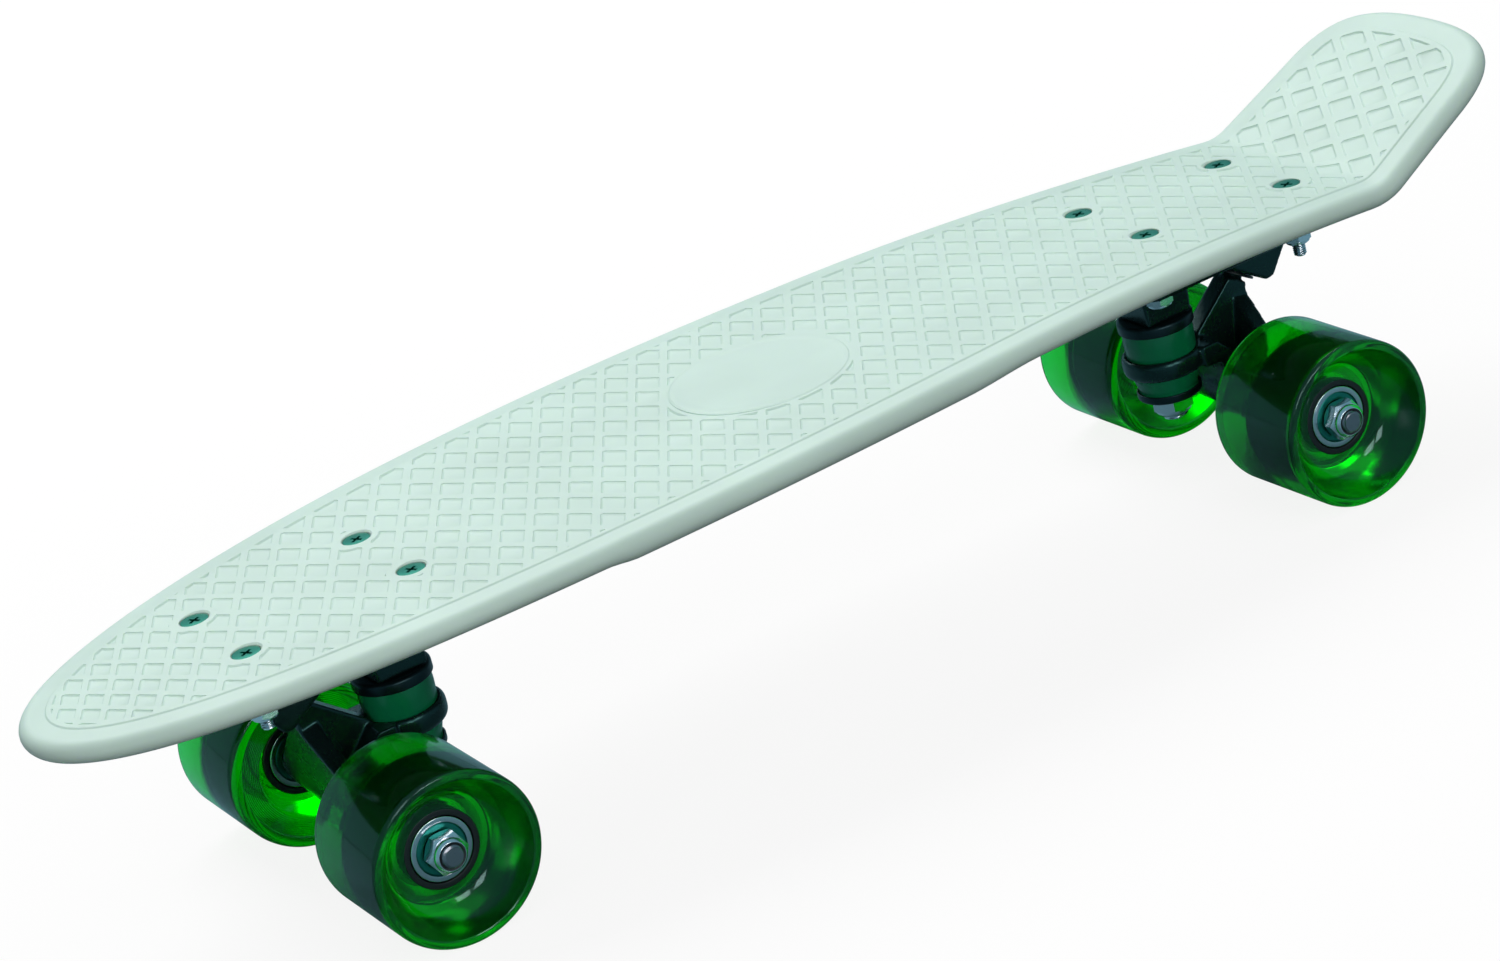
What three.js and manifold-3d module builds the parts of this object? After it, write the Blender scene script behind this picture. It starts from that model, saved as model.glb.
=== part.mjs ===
// A cruiser skateboard: a moulded plastic deck with a kicked tail, two trucks and four cast wheels.
// Millimetres, +Z up, +X from the nose to the tail. The origin lies on the ground, under the middle
// of the deck's length and width.
import * as THREE from "three";
import { mergeVertices } from "three/addons/utils/BufferGeometryUtils.js";
import Module from "manifold-3d";

const wasm = await Module();
wasm.setup();

// Fits and overruns
const fitGap = 0.3; // between two pieces that touch
const overrun = 2; // how far a cutting tool runs past the face it opens
const weld = 1e-4; // points closer than this are one

// Deck, seen from the side: a gentle arch, then the heel and the straight kicked tail
const archLength = 504.5; // from the nose tip to the start of the heel
const archShares = [0.138, 0.3, 0.684, 0.793, 0.92]; // handles and ends of its two curves
const noseDrop = 10.4; // nose tip below the crest
const noseHandleShare = 0.385; // of noseDrop, climbed by the first handle
const heelDrop = 8.9; // start of the heel below the crest
const heelHandleShare = 0.5; // of heelDrop, fallen by the last handle
const heelRun = 5; // each leg of the heel's bend
const kickAngle = THREE.MathUtils.degToRad(26);
const kickLength = 69.3; // straight part of the tail
const crestAbovePads = 19.5; // crest of the arch above the undersides of the truck pads

// Deck, seen from above and unrolled flat: shares of its length and of half its width
const deckWidth = 148;
const noseOutlineShares = [[0, 0], [0, 0.66], [0.17, 1], [0.393, 1]];
const waistOutlineShares = [[0.393, 1], [0.578, 1], [0.738, 0.765], [0.943, 0.67]];
const tailOutlineShares = [[0.943, 0.67], [0.988, 0.65], [1, 0.44], [1, 0]];
const outlineSteps = 44;
const crowdingShare = 0.6; // 0 spaces the steps evenly, 1 crowds them most at nose and tail

// Deck, cut across
const rimDepth = 8.8;
const bellyExtra = 1.3; // more rim depth between the wheels
const bellyShares = [0.305, 0.325, 0.55, 0.6]; // of the length: where the belly fades in and out
const rimRound = 4.6; // half width of the rounded edge
const rimSteps = 5;
const rimFlat = 9; // inner edge of the rim's underside
const rimDraft = 4; // run of the slope from there up to the plate
const plateThickness = 5.4;
const borderWidth = 9.8; // flat border round the raised field
const borderSlope = 1.2; // width of the slope from the border up to the field
const borderDrop = 0.45; // border below the field

// Round plaque in the middle of the deck, and the ribs below it
const plaqueDiameter = 62;
const plaqueRise = 0.4;
const plaqueSink = 2; // how deep its disc reaches into the plate
const ribCount = 3;
const ribSpacing = 24;
const ribLength = 190;
const ribWidth = 3;
const ribDepth = 4; // below the plate
const ribBury = 1.4; // into the plate

// Where the trucks sit
const noseToAxle = 99.5;
const wheelbase = 362.4;
const holePitchAlong = 61.3;
const holePitchAcross = 41.3;
const holeShift = 2.8; // middle of the four holes, inboard of the axle
const padMargin = 8; // pad beyond the holes
const padCorner = 6;
const padBury = 3; // top of the pad below the deck's surface
const padSteps = 6; // straight parts of its arched top

// Deck bolts and their lock nuts
const boltDiameter = 4.8;
const boltHeadDiameter = 9.6;
const boltHeadHeight = 2.6;
const boltHeadSink = 0.5; // head below the surface
const boltSpare = 1.5; // beyond the crest, the pads and the flange
const crossLength = 4.6; // cross recess
const crossWidth = 1.1;
const crossDepth = 1.6;
const lockNutWidth = 9.5;
const lockNutHeight = 4.4;
const lockNutCollar = 1.4; // round end of the nut
const lockNutCollarDiameter = 8.6;

// Baseplate
const flangeThickness = 6.2;
const flangeMargin = 7.5; // beyond the holes
const flangeCorner = 5.5;
const bossLength = 18.5; // foot of the block round the kingpin
const bossWidth = 21.2;
const bossDrop = 15.3; // below the flange
const bossDraft = 1.5; // how far each end slopes out above the foot
const housingWidth = 25; // the block that holds the pivot cup
const housingReach = 32.5; // outboard end of its root, from the axle
const housingDrop = 16.2; // below the flange
const housingRootShares = [-1, -0.09]; // of its reach
const housingFootShares = [[-0.63, 1], [-0.53, 1.02], [-0.135, 0.51]]; // of its reach and drop

// Kingpin and what it clamps, all on a vertical axis
const kingpinInboard = 24.4; // from the axle
const kingpinDiameter = 9.5;
const kingpinHeadWidth = 14.3;
const kingpinHeadHeight = 5.6;
const kingpinNutWidth = 14.3;
const kingpinNutHeight = 6.8;
const kingpinEnd = 1.8; // thread below the nut
const washerPlate = 1.5;
const washerWall = 0.7;
const upperWasherDiameter = 27.6;
const upperWasherHeight = 4.2;
const lowerWasherDiameter = 23.6;
const lowerWasherHeight = 3.2;
const lowerWasherAboveAxle = 4.5;
const upperBushingDiameter = 25.4;
const upperBushingHeight = 12.8;
const upperBushingBulge = 0.2; // of its radius, halfway up
const lowerBushingDiameter = 24.4;
const lowerBushingFoot = 21.4;

// Hanger: the ring between the bushings
const ringDiameter = 29.8;
const ringHeight = 8.8;
const ringAboveAxle = 13.8;
const ringSeat = 2; // depth of the seat for each bushing
const ringBore = 17;
const seatPlay = 0.5; // round a bushing in its seat

// Hanger: axle housing, web, spine and yoke
const hangerHalfWidth = 39.7;
const housingMiddleRadius = 9;
const housingShoulderRadius = 7.8;
const housingFaceRadius = 6.4;
const housingShoulder = 3;
const webThickness = 6.5;
const webOutboard = 8; // outboard face of the web from the axle
const webLean = THREE.MathUtils.degToRad(10.2);
const webApexDrop = 2.3; // where its two slanted edges meet, below the foot of the neck
const webFoot = 2;
const webEnd = 38;
const spineThickness = 9;
const yokeHalfWidth = 14;
const yokeFoot = 6;

// Hanger: the pivot nose, and the cup it turns in
const neckOutboard = 10.2; // foot of the neck from the axle
const neckDrop = 15.3; // its height, below the baseplate's flange
const neckRadius = 3.9;
const neckLength = 9;
const noseRadius = 5.3;
const noseAngle = THREE.MathUtils.degToRad(57); // of the neck above the level
const cupWall = 1.4;
const cupDepth = 7.5; // from the middle of the nose to the cup's mouth
const cupLip = 0.9;
const cupFloor = 2.4;

// Axle and its nuts
const axleDiameter = 7.94;
const axleSpare = 1; // beyond the nut
const axleChamfer = 0.8;
const axleNutWidth = 12.7;
const axleNutHeight = 5.2;
const axleNutCollar = 2.1;
const axleNutCollarDiameter = 11.8;

// Bearings
const bearingDiameter = 22;
const bearingWidth = 7;
const bearingBore = 8;
const bearingSpacing = 10;
const hangerBoss = 1.9; // raised face between the hanger and the inner bearing
const hangerBossRadius = 5.6;

// Wheels
const wheelDiameter = 59.8;
const wheelWidth = 45.4;
const dishDepth = 12.1; // outer face of the bearing below the wheel's outer edge
const treadEdge = 1.4;
const innerEdge = 2.2;
const lipWidth = 1.2;
const dishShares = [[0.42, 0.12], [0.75, 0.55]]; // from the core to the lip, across and out
const innerStepRadius = 19;
const innerStepDepth = 2.4;
const coreDiameter = 27;
const coreBore = 16; // between the bearings

// Sides of the round shapes
const treadSides = 32;
const roundSides = 20;
const pinSides = 10;
const domeSteps = 4;
const cornerSteps = 4;

const finish = (color, roughness, metalness) =>
  new THREE.MeshStandardMaterial({ color, roughness, metalness });
const mintPlastic = finish(0xcfe6dc, 0.42, 0);
const blackPaint = finish(0x14191b, 0.35, 0.4);
const greenRubber = finish(0x0d4a34, 0.3, 0);
const greenUrethane = finish(0x0c7d17, 0.12, 0);
const blackPlastic = finish(0x0b0b0d, 0.5, 0);
const brightSteel = finish(0xb8bcc2, 0.25, 1);
const greenSteel = finish(0x1f7a66, 0.4, 0.3);

// A closed geometry as a solid that can be joined and cut
function solidOf(geometry) {
  const bare = geometry.clone();
  bare.deleteAttribute("normal");
  bare.deleteAttribute("uv");
  const merged = mergeVertices(bare, weld);
  return new wasm.Manifold(
    new wasm.Mesh({
      numProp: 3,
      vertProperties: merged.attributes.position.array,
      triVerts: new Uint32Array(merged.index.array),
    }),
  );
}

function geometryOf(solid) {
  const mesh = solid.getMesh();
  const geometry = new THREE.BufferGeometry()
    .setAttribute("position", new THREE.BufferAttribute(mesh.vertProperties, 3))
    .setIndex(new THREE.BufferAttribute(mesh.triVerts, 1))
    .toNonIndexed();
  geometry.computeVertexNormals();
  return geometry;
}

const join = (...geometries) => geometryOf(geometries.map(solidOf).reduce((a, b) => a.add(b)));

const cut = (body, ...tools) =>
  geometryOf(tools.map(solidOf).reduce((a, b) => a.subtract(b), solidOf(body)));

const meet = (a, b) => geometryOf(solidOf(a).intersect(solidOf(b)));

// Solids of revolution: about Y with points [radius, y], and about Z with points [radius, z]
function turned(points, sides) {
  const profile = [...points, points[0]].map(([radius, y]) => new THREE.Vector2(radius, y));
  return new THREE.LatheGeometry(profile, sides);
}

const upright = (points, sides) => turned(points, sides).rotateX(Math.PI / 2);

const rodPoints = (radius, low, high) => [[0, low], [radius, low], [radius, high], [0, high]];

const rod = (radius, low, high, sides = roundSides) =>
  upright(rodPoints(radius, low, high), sides);

const crossRod = (radius, low, high, sides = roundSides) =>
  turned(rodPoints(radius, low, high), sides);

// Radius of a hexagon's corners
const hexRadius = (acrossFlats) => acrossFlats / Math.sqrt(3);

const hexRod = (acrossFlats, low, high) =>
  rod(hexRadius(acrossFlats), low, high, 6).rotateZ(Math.PI / 6);

// A flat outline given a thickness, centred on its plane
const slab = (shape, thickness) =>
  new THREE.ExtrudeGeometry(shape, {
    depth: thickness,
    bevelEnabled: false,
    curveSegments: cornerSteps,
  }).translate(0, 0, -thickness / 2);

const shapeOf = (points) => new THREE.Shape(points.map(([x, y]) => new THREE.Vector2(x, y)));

// An outline in X and Z, thick along Y
const sideSlab = (points, thickness) => slab(shapeOf(points), thickness).rotateX(Math.PI / 2);

// An outline in Y and Z, thick along X
function crossSlab(points, thickness) {
  const axes = [[0, 1, 0], [0, 0, 1], [1, 0, 0]].map((axis) => new THREE.Vector3(...axis));
  return slab(shapeOf(points), thickness).applyMatrix4(new THREE.Matrix4().makeBasis(...axes));
}

// A plate with rounded corners, from low to high
function roundedPlate(length, width, corner, low, high) {
  const [x, y] = [length / 2 - corner, width / 2 - corner];
  const shape = new THREE.Shape();
  shape.absarc(x, y, corner, 0, Math.PI / 2);
  shape.absarc(-x, y, corner, Math.PI / 2, Math.PI);
  shape.absarc(-x, -y, corner, Math.PI, 1.5 * Math.PI);
  shape.absarc(x, -y, corner, 1.5 * Math.PI, 2 * Math.PI);
  return slab(shape, high - low).translate(0, 0, (low + high) / 2);
}

// Points of a dome, [radius, height], from its top down to an angle from the top
const dome = (radius, angle) =>
  Array.from({ length: domeSteps + 1 }, (_, i) => [
    radius * Math.sin((angle * i) / domeSteps),
    radius * Math.cos((angle * i) / domeSteps),
  ]);

// A surface through closed rings of equal count; rings of no width close its ends
function loft(rings) {
  const points = rings.flat();
  const around = rings[0].length;
  const apart = (a, b) => points[a].distanceTo(points[b]) > weld;
  const index = [];
  const face = (a, b, c) => {
    if (apart(a, b) && apart(b, c) && apart(c, a)) index.push(a, b, c);
  };
  for (let i = 0; i + 1 < rings.length; i++) {
    for (let k = 0; k < around; k++) {
      const a = i * around + k;
      const b = i * around + ((k + 1) % around);
      face(a, a + around, b);
      face(b, a + around, b + around);
    }
  }
  return new THREE.BufferGeometry().setFromPoints(points).setIndex(index).toNonIndexed();
}

// Heights above the axle, up and down the kingpin
const wheelRadius = wheelDiameter / 2;
const axleHeight = wheelRadius * Math.cos(Math.PI / treadSides); // a flat of the tread lies down
const ringTop = ringAboveAxle + ringHeight;
const upperBushingBase = ringTop - ringSeat + fitGap;
const upperBushingTop = upperBushingBase + upperBushingHeight;
const upperWasherTop = upperBushingTop + fitGap + washerPlate;
const bossFoot = upperWasherTop + fitGap;
const flangeFoot = bossFoot + bossDrop;
const padAboveAxle = flangeFoot + flangeThickness;
const crestAboveAxle = padAboveAxle + crestAbovePads;
const crestHeight = axleHeight + crestAboveAxle;
const boltLength = crestAbovePads + flangeThickness + boltSpare;
const lowerBushingTop = ringAboveAxle + ringSeat - fitGap;
const lowerWasherTop = lowerWasherAboveAxle + lowerWasherHeight;
const lowerBushingBase = lowerWasherAboveAxle + washerPlate + fitGap;
const kingpinNutTop = lowerWasherAboveAxle - fitGap;
const kingpinNutBase = kingpinNutTop - kingpinNutHeight;

// Radii that clear the pins and rods
const boltClear = boltDiameter / 2 + fitGap;
const pinClear = kingpinDiameter / 2 + fitGap;
const axleClear = axleDiameter / 2 + fitGap;

// Distances across the board, from the middle to one side
const innerBearing = hangerHalfWidth + hangerBoss + fitGap;
const outerBearing = innerBearing + bearingWidth + bearingSpacing;
const bearingEnd = outerBearing + bearingWidth;
const wheelOuter = bearingEnd + dishDepth;
const wheelInner = wheelOuter - wheelWidth;
const axleNutStart = bearingEnd + fitGap;
const axleEnd = axleNutStart + axleNutHeight + axleNutCollar + axleSpare;

// Side view of the deck's top surface, from the nose tip
function deckArch() {
  const [a, b, c, d, e] = archShares.map((share) => share * archLength);
  const at = (x, z) => new THREE.Vector2(x, z);
  const nose = [at(0, -noseDrop), at(a, -noseDrop * (1 - noseHandleShare)), at(b, 0), at(c, 0)];
  const last = at(e, -heelHandleShare * heelDrop);
  const heelStart = at(archLength, -heelDrop);
  const fall = heelStart.clone().sub(last).normalize();
  const rise = at(Math.cos(kickAngle), Math.sin(kickAngle));
  const corner = heelStart.clone().addScaledVector(fall, heelRun);
  const kickStart = corner.clone().addScaledVector(rise, heelRun);
  const kickEnd = kickStart.clone().addScaledVector(rise, kickLength);
  const path = new THREE.CurvePath();
  path.add(new THREE.CubicBezierCurve(...nose));
  path.add(new THREE.CubicBezierCurve(at(c, 0), at(d, 0), last, heelStart));
  path.add(new THREE.QuadraticBezierCurve(heelStart, corner, kickStart));
  path.add(new THREE.LineCurve(kickStart, kickEnd));
  return path;
}

const arch = deckArch();
const deckLength = arch.getLength();

// One side of the outline, unrolled: x along the surface, y half the width
function deckOutline() {
  const path = new THREE.CurvePath();
  for (const shares of [noseOutlineShares, waistOutlineShares, tailOutlineShares]) {
    const points = shares.map(([x, y]) => new THREE.Vector2(x * deckLength, (y * deckWidth) / 2));
    path.add(new THREE.CubicBezierCurve(...points));
  }
  return path;
}

const outline = deckOutline();

// A point of the deck: along the surface, across, and up from the surface
function onDeck(along, across, up) {
  const share = THREE.MathUtils.clamp(along / deckLength, 0, 1);
  const point = arch.getPointAt(share);
  const tangent = arch.getTangentAt(share);
  return new THREE.Vector3(point.x - tangent.y * up, across, point.y + tangent.x * up);
}

// Depth of the rim at a place along the deck
function rimDepthAt(along) {
  const [a, b, c, d] = bellyShares.map((share) => share * deckLength);
  const { smoothstep } = THREE.MathUtils;
  return rimDepth + bellyExtra * (smoothstep(along, a, b) - smoothstep(along, c, d));
}

// Half the deck's section as [distance in from the edge, height over the surface]
function halfSection(depth) {
  const edge = Array.from({ length: rimSteps + 1 }, (_, i) => {
    const angle = (Math.PI * i) / rimSteps;
    const fall = ((depth - borderDrop) * (1 - Math.cos(angle))) / 2;
    return [rimRound * (1 - Math.sin(angle)), -borderDrop - fall];
  });
  return [
    [borderWidth + borderSlope, 0],
    [borderWidth, -borderDrop],
    ...edge,
    [rimFlat, -depth],
    [rimFlat + rimDraft, -plateThickness],
  ];
}

// The closed section of the deck at one step of the outline
function deckRing(step) {
  const even = step / outlineSteps;
  const share = even - (crowdingShare * Math.sin(2 * Math.PI * even)) / (2 * Math.PI);
  const edge = outline.getPointAt(share);
  const tangent = outline.getTangentAt(share);
  const half = halfSection(rimDepthAt(edge.x)).map(([inward, up]) => [
    edge.x + tangent.y * inward,
    Math.max(edge.y - tangent.x * inward, 0),
    up,
  ]);
  const left = half.map(([along, across, up]) => onDeck(along, across, up));
  const right = half.map(([along, across, up]) => onDeck(along, -across, up));
  const top = onDeck(half[0][0], 0, 0);
  const foot = onDeck(half[half.length - 1][0], 0, -plateThickness);
  return [top, ...left, foot, ...right.reverse()];
}

const deckRings = Array.from({ length: outlineSteps + 1 }, (_, step) => deckRing(step));
const deckBox = new THREE.Box3().setFromPoints(deckRings.flat());
const archX = -(deckBox.min.x + deckBox.max.x) / 2; // puts the middle of the deck at x = 0
const frontAxleX = deckBox.min.x + archX + noseToAxle;
const rearAxleX = frontAxleX + wheelbase;
const middleX = (frontAxleX + rearAxleX) / 2;

// Height of the deck's surface over its crest at a place on the plan
function surfaceAt(x) {
  let [low, high] = [0, 1];
  while (high - low > weld) {
    const middle = (low + high) / 2;
    if (arch.getPointAt(middle).x + archX < x) low = middle;
    else high = middle;
  }
  return arch.getPointAt(low).y;
}

// Left and right are those of a rider who faces the nose.
const sideOf = (y) => (y < 0 ? "left" : "right");

// The four holes of a truck. In a truck's own frame x is inboard and z starts at the axle.
const holePlaces = [[1, 1], [1, -1], [-1, 1], [-1, -1]].map(([along, across]) => ({
  end: along > 0 ? "inner" : "outer",
  x: holeShift + (along * holePitchAlong) / 2,
  y: (across * holePitchAcross) / 2,
}));

const boltTop = (axleX, inboard, x) =>
  crestAboveAxle + surfaceAt(axleX + inboard * x) - boltHeadSink;

// The bolt, or with a gap and a rise above its head the hole for it
function boltBody(headTop, gap = 0, rise = 0) {
  const [head, shank] = [boltHeadDiameter / 2 + gap, boltDiameter / 2 + gap];
  const [low, neck, high] = [headTop - boltLength, headTop - boltHeadHeight - gap, headTop + rise];
  return upright(
    [[0, low], [shank, low], [shank, neck], [head, headTop], [head, high], [0, high]],
    pinSides,
  );
}

// A flat foot under the deck, whose top follows the arch inside the plate
function deckPad(axleX, inboard) {
  const [length, width] = [holePitchAlong + 2 * padMargin, holePitchAcross + 2 * padMargin];
  const middle = axleX + inboard * holeShift;
  const [low, reach] = [axleHeight + padAboveAxle, length / 2 + overrun];
  const arched = Array.from({ length: padSteps + 1 }, (_, i) => {
    const x = middle + reach * ((2 * i) / padSteps - 1);
    return [x, crestHeight + surfaceAt(x) - padBury];
  });
  const side = [[middle - reach, low - overrun], ...arched, [middle + reach, low - overrun]];
  return meet(
    roundedPlate(length, width, padCorner, low, crestHeight).translate(middle, 0, 0),
    sideSlab(side, width + 2 * overrun),
  );
}

const deckHoles = (axleX, inboard) =>
  holePlaces.map(({ x, y }) =>
    boltBody(boltTop(axleX, inboard, x), fitGap, overrun).translate(
      axleX + inboard * x,
      inboard * y,
      axleHeight,
    ),
  );

function plaque() {
  const top = crestHeight + surfaceAt(middleX) + plaqueRise;
  return rod(plaqueDiameter / 2, top - plaqueSink, top, treadSides).translate(middleX, 0, 0);
}

function deckRib(i) {
  const height = ribDepth + ribBury;
  const low = crestHeight - plateThickness - ribDepth;
  return new THREE.BoxGeometry(ribLength, ribWidth, height).translate(
    middleX,
    (i - (ribCount - 1) / 2) * ribSpacing,
    low + height / 2,
  );
}

function deck() {
  const shell = loft(deckRings).translate(archX, 0, crestHeight);
  const ribs = Array.from({ length: ribCount }, (_, i) => deckRib(i));
  const pads = [deckPad(frontAxleX, 1), deckPad(rearAxleX, -1)];
  const holes = [...deckHoles(frontAxleX, 1), ...deckHoles(rearAxleX, -1)];
  return cut(join(shell, plaque(), ...pads, ...ribs), ...holes);
}

function deckBolt(headTop) {
  const height = crossDepth + overrun;
  const bar = new THREE.BoxGeometry(crossLength, crossWidth, height).translate(
    0,
    0,
    headTop - crossDepth + height / 2,
  );
  return cut(boltBody(headTop), bar, bar.clone().rotateZ(Math.PI / 2));
}

function lockNut() {
  const top = flangeFoot - fitGap;
  const low = top - lockNutHeight;
  const shoulder = low + lockNutCollar;
  return cut(
    join(
      hexRod(lockNutWidth, shoulder, top),
      rod(lockNutCollarDiameter / 2, low, top, pinSides),
    ),
    rod(boltClear, low - overrun, top + overrun, pinSides),
  );
}

// The pivot nose points up and outboard; what shares its axis is turned about Y and set there
const noseDirection = new THREE.Vector3(-Math.cos(noseAngle), 0, Math.sin(noseAngle));
const neckFoot = new THREE.Vector3(-neckOutboard, 0, flangeFoot - neckDrop);
const noseCentre = neckFoot.clone().addScaledVector(noseDirection, neckLength);
const cupInner = noseRadius + fitGap;
const cupOuter = cupInner + cupWall;
const cupEnd = cupInner + cupFloor;
const cupLipRadius = cupOuter + cupLip;

function onNose(points) {
  const turn = new THREE.Quaternion().setFromUnitVectors(new THREE.Vector3(0, 1, 0), noseDirection);
  return turned(points, roundSides).applyQuaternion(turn).translate(...noseCentre.toArray());
}

function pivotCup() {
  return onNose([
    ...dome(cupInner, Math.PI / 2),
    [cupInner + fitGap, -cupDepth],
    [cupLipRadius, -cupDepth],
    [cupLipRadius, cupLip - cupDepth],
    [cupOuter, cupLip - cupDepth],
    [cupOuter, cupEnd],
    [0, cupEnd],
  ]);
}

function cupPocket() {
  const shoulder = cupLip - cupDepth + fitGap;
  return onNose([
    [0, cupEnd + fitGap],
    [0, -cupDepth - overrun],
    [cupLipRadius + fitGap, -cupDepth - overrun],
    [cupLipRadius + fitGap, shoulder],
    [cupOuter + fitGap, shoulder],
    [cupOuter + fitGap, cupEnd + fitGap],
  ]);
}

function pivotHousing() {
  const root = flangeFoot + flangeThickness / 2;
  const [outboard, inboard] = housingRootShares.map((share) => share * housingReach);
  const foot = housingFootShares.map(([x, z]) => [x * housingReach, flangeFoot - z * housingDrop]);
  return sideSlab(
    [[outboard, root], [outboard, flangeFoot], ...foot, [inboard, flangeFoot], [inboard, root]],
    housingWidth,
  );
}

function kingpinBoss() {
  const half = bossLength / 2;
  const top = flangeFoot + flangeThickness / 2;
  return sideSlab(
    [[-half - bossDraft, top], [-half, bossFoot], [half, bossFoot], [half + bossDraft, top]],
    bossWidth,
  ).translate(kingpinInboard, 0, 0);
}

function baseplate() {
  const top = padAboveAxle - fitGap;
  const flange = roundedPlate(
    holePitchAlong + 2 * flangeMargin,
    holePitchAcross + 2 * flangeMargin,
    flangeCorner,
    flangeFoot,
    top,
  ).translate(holeShift, 0, 0);
  const headSeat = top - kingpinHeadHeight - 2 * fitGap;
  const pinHole = rod(pinClear, bossFoot - overrun, headSeat + overrun);
  const headPocket = hexRod(kingpinHeadWidth + 2 * fitGap, headSeat, top + overrun);
  const holes = holePlaces.map(({ x, y }) =>
    rod(boltClear, flangeFoot - overrun, top + overrun, pinSides).translate(x, y, 0),
  );
  return cut(
    join(flange, kingpinBoss(), pivotHousing()),
    pinHole.translate(kingpinInboard, 0, 0),
    headPocket.translate(kingpinInboard, 0, 0),
    cupPocket(),
    ...holes,
  );
}

function kingpin() {
  const top = padAboveAxle - 2 * fitGap;
  const neck = top - kingpinHeadHeight;
  return join(
    hexRod(kingpinHeadWidth, neck, top),
    rod(kingpinDiameter / 2, kingpinNutBase - kingpinEnd, top, pinSides),
  );
}

const kingpinNut = () =>
  cut(
    hexRod(kingpinNutWidth, kingpinNutBase, kingpinNutTop),
    rod(pinClear, kingpinNutBase - overrun, kingpinNutTop + overrun, pinSides),
  );

// A cup washer: a plate with a wall round it, which reaches down or up over a bushing
function cupWasher(diameter, plate, rim, outside) {
  const [outer, inner] = [diameter / 2, diameter / 2 - washerWall];
  const points = [
    [pinClear, plate],
    [inner, plate],
    [inner, rim],
    [outer, rim],
    [outer, outside],
    [pinClear, outside],
  ];
  return upright(outside > rim ? points : points.reverse(), roundSides);
}

const upperWasher = () =>
  cupWasher(
    upperWasherDiameter,
    upperWasherTop - washerPlate,
    upperWasherTop - upperWasherHeight,
    upperWasherTop,
  );

const lowerWasher = () =>
  cupWasher(
    lowerWasherDiameter,
    lowerWasherAboveAxle + washerPlate,
    lowerWasherTop,
    lowerWasherAboveAxle,
  );

function upperBushing() {
  const radius = upperBushingDiameter / 2;
  const middle = (upperBushingTop + upperBushingBase) / 2;
  return upright(
    [
      [pinClear, upperBushingBase],
      [radius, upperBushingBase],
      [radius + upperBushingBulge, middle],
      [radius, upperBushingTop],
      [pinClear, upperBushingTop],
    ],
    roundSides,
  );
}

function lowerBushing() {
  const [foot, radius] = [lowerBushingFoot / 2, lowerBushingDiameter / 2];
  return upright(
    [
      [pinClear, lowerBushingBase],
      [foot, lowerBushingBase],
      [foot, lowerWasherTop + fitGap],
      [radius, ringAboveAxle - fitGap],
      [radius, lowerBushingTop],
      [pinClear, lowerBushingTop],
    ],
    roundSides,
  );
}

function axleHousing() {
  const end = hangerHalfWidth + hangerBoss;
  const half = [
    [hangerBossRadius, end],
    [hangerBossRadius, hangerHalfWidth],
    [housingFaceRadius, hangerHalfWidth],
    [housingShoulderRadius, hangerHalfWidth - housingShoulder],
  ];
  const low = half.map(([radius, y]) => [radius, -y]);
  return turned(
    [[0, -end], ...low, [housingMiddleRadius, 0], ...half.reverse(), [0, end]],
    roundSides,
  );
}

function web() {
  const triangle = [
    [-webEnd, -webFoot],
    [webEnd, -webFoot],
    [webEnd, webFoot],
    [0, neckFoot.z - webApexDrop],
    [-webEnd, webFoot],
  ];
  return crossSlab(triangle, webThickness)
    .translate(webThickness / 2, 0, 0)
    .rotateY(-webLean)
    .translate(-webOutboard, 0, 0);
}

const ringOutboard = kingpinInboard - ringDiameter / 2; // near edge of the ring

function spine() {
  const across = new THREE.Vector3(noseDirection.z, 0, -noseDirection.x);
  const outer = neckFoot.clone().addScaledVector(across, -neckRadius);
  const inner = neckFoot.clone().addScaledVector(across, neckRadius);
  return sideSlab(
    [
      [-webOutboard, 0],
      [0, 0],
      [ringOutboard, ringAboveAxle],
      [ringOutboard + ringSeat, ringTop],
      [inner.x, inner.z],
      [outer.x, outer.z],
    ],
    spineThickness,
  );
}

function yoke() {
  const inboard = kingpinInboard - ringBore / 2;
  const top = ringTop - ringSeat / 2;
  return sideSlab(
    [
      [-yokeFoot / 2, -yokeFoot],
      [yokeFoot, -yokeFoot],
      [ringOutboard, ringAboveAxle],
      [inboard, ringAboveAxle],
      [inboard, top],
      [ringOutboard, top],
      [-yokeFoot, yokeFoot],
    ],
    2 * yokeHalfWidth,
  );
}

function pivotNose() {
  const foot = -neckLength - neckRadius;
  const ball = dome(noseRadius, Math.PI - Math.asin(neckRadius / noseRadius));
  return onNose([[0, foot], [neckRadius, foot], ...ball.reverse()]);
}

function hanger() {
  const ring = rod(ringDiameter / 2, ringAboveAxle, ringTop);
  const bore = rod(ringBore / 2, ringAboveAxle - overrun, ringTop + overrun);
  const upperSeat = rod(
    upperBushingDiameter / 2 + upperBushingBulge + seatPlay,
    ringTop - ringSeat,
    upperWasherTop,
  );
  const lowerSeat = rod(
    lowerBushingDiameter / 2 + seatPlay,
    kingpinNutBase,
    ringAboveAxle + ringSeat,
  );
  const axleBore = crossRod(axleClear, -axleEnd, axleEnd, pinSides);
  return cut(
    join(axleHousing(), web(), spine(), yoke(), ring.translate(kingpinInboard, 0, 0), pivotNose()),
    ...[bore, upperSeat, lowerSeat].map((tool) => tool.translate(kingpinInboard, 0, 0)),
    axleBore,
  );
}

function axle() {
  const radius = axleDiameter / 2;
  const [tipRadius, tip] = [radius - axleChamfer, axleEnd - axleChamfer];
  const half = [[radius, tip], [tipRadius, axleEnd], [0, axleEnd]];
  return turned(
    [...half.map(([r, y]) => [r, -y]).reverse(), ...half],
    pinSides,
  );
}

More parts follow.
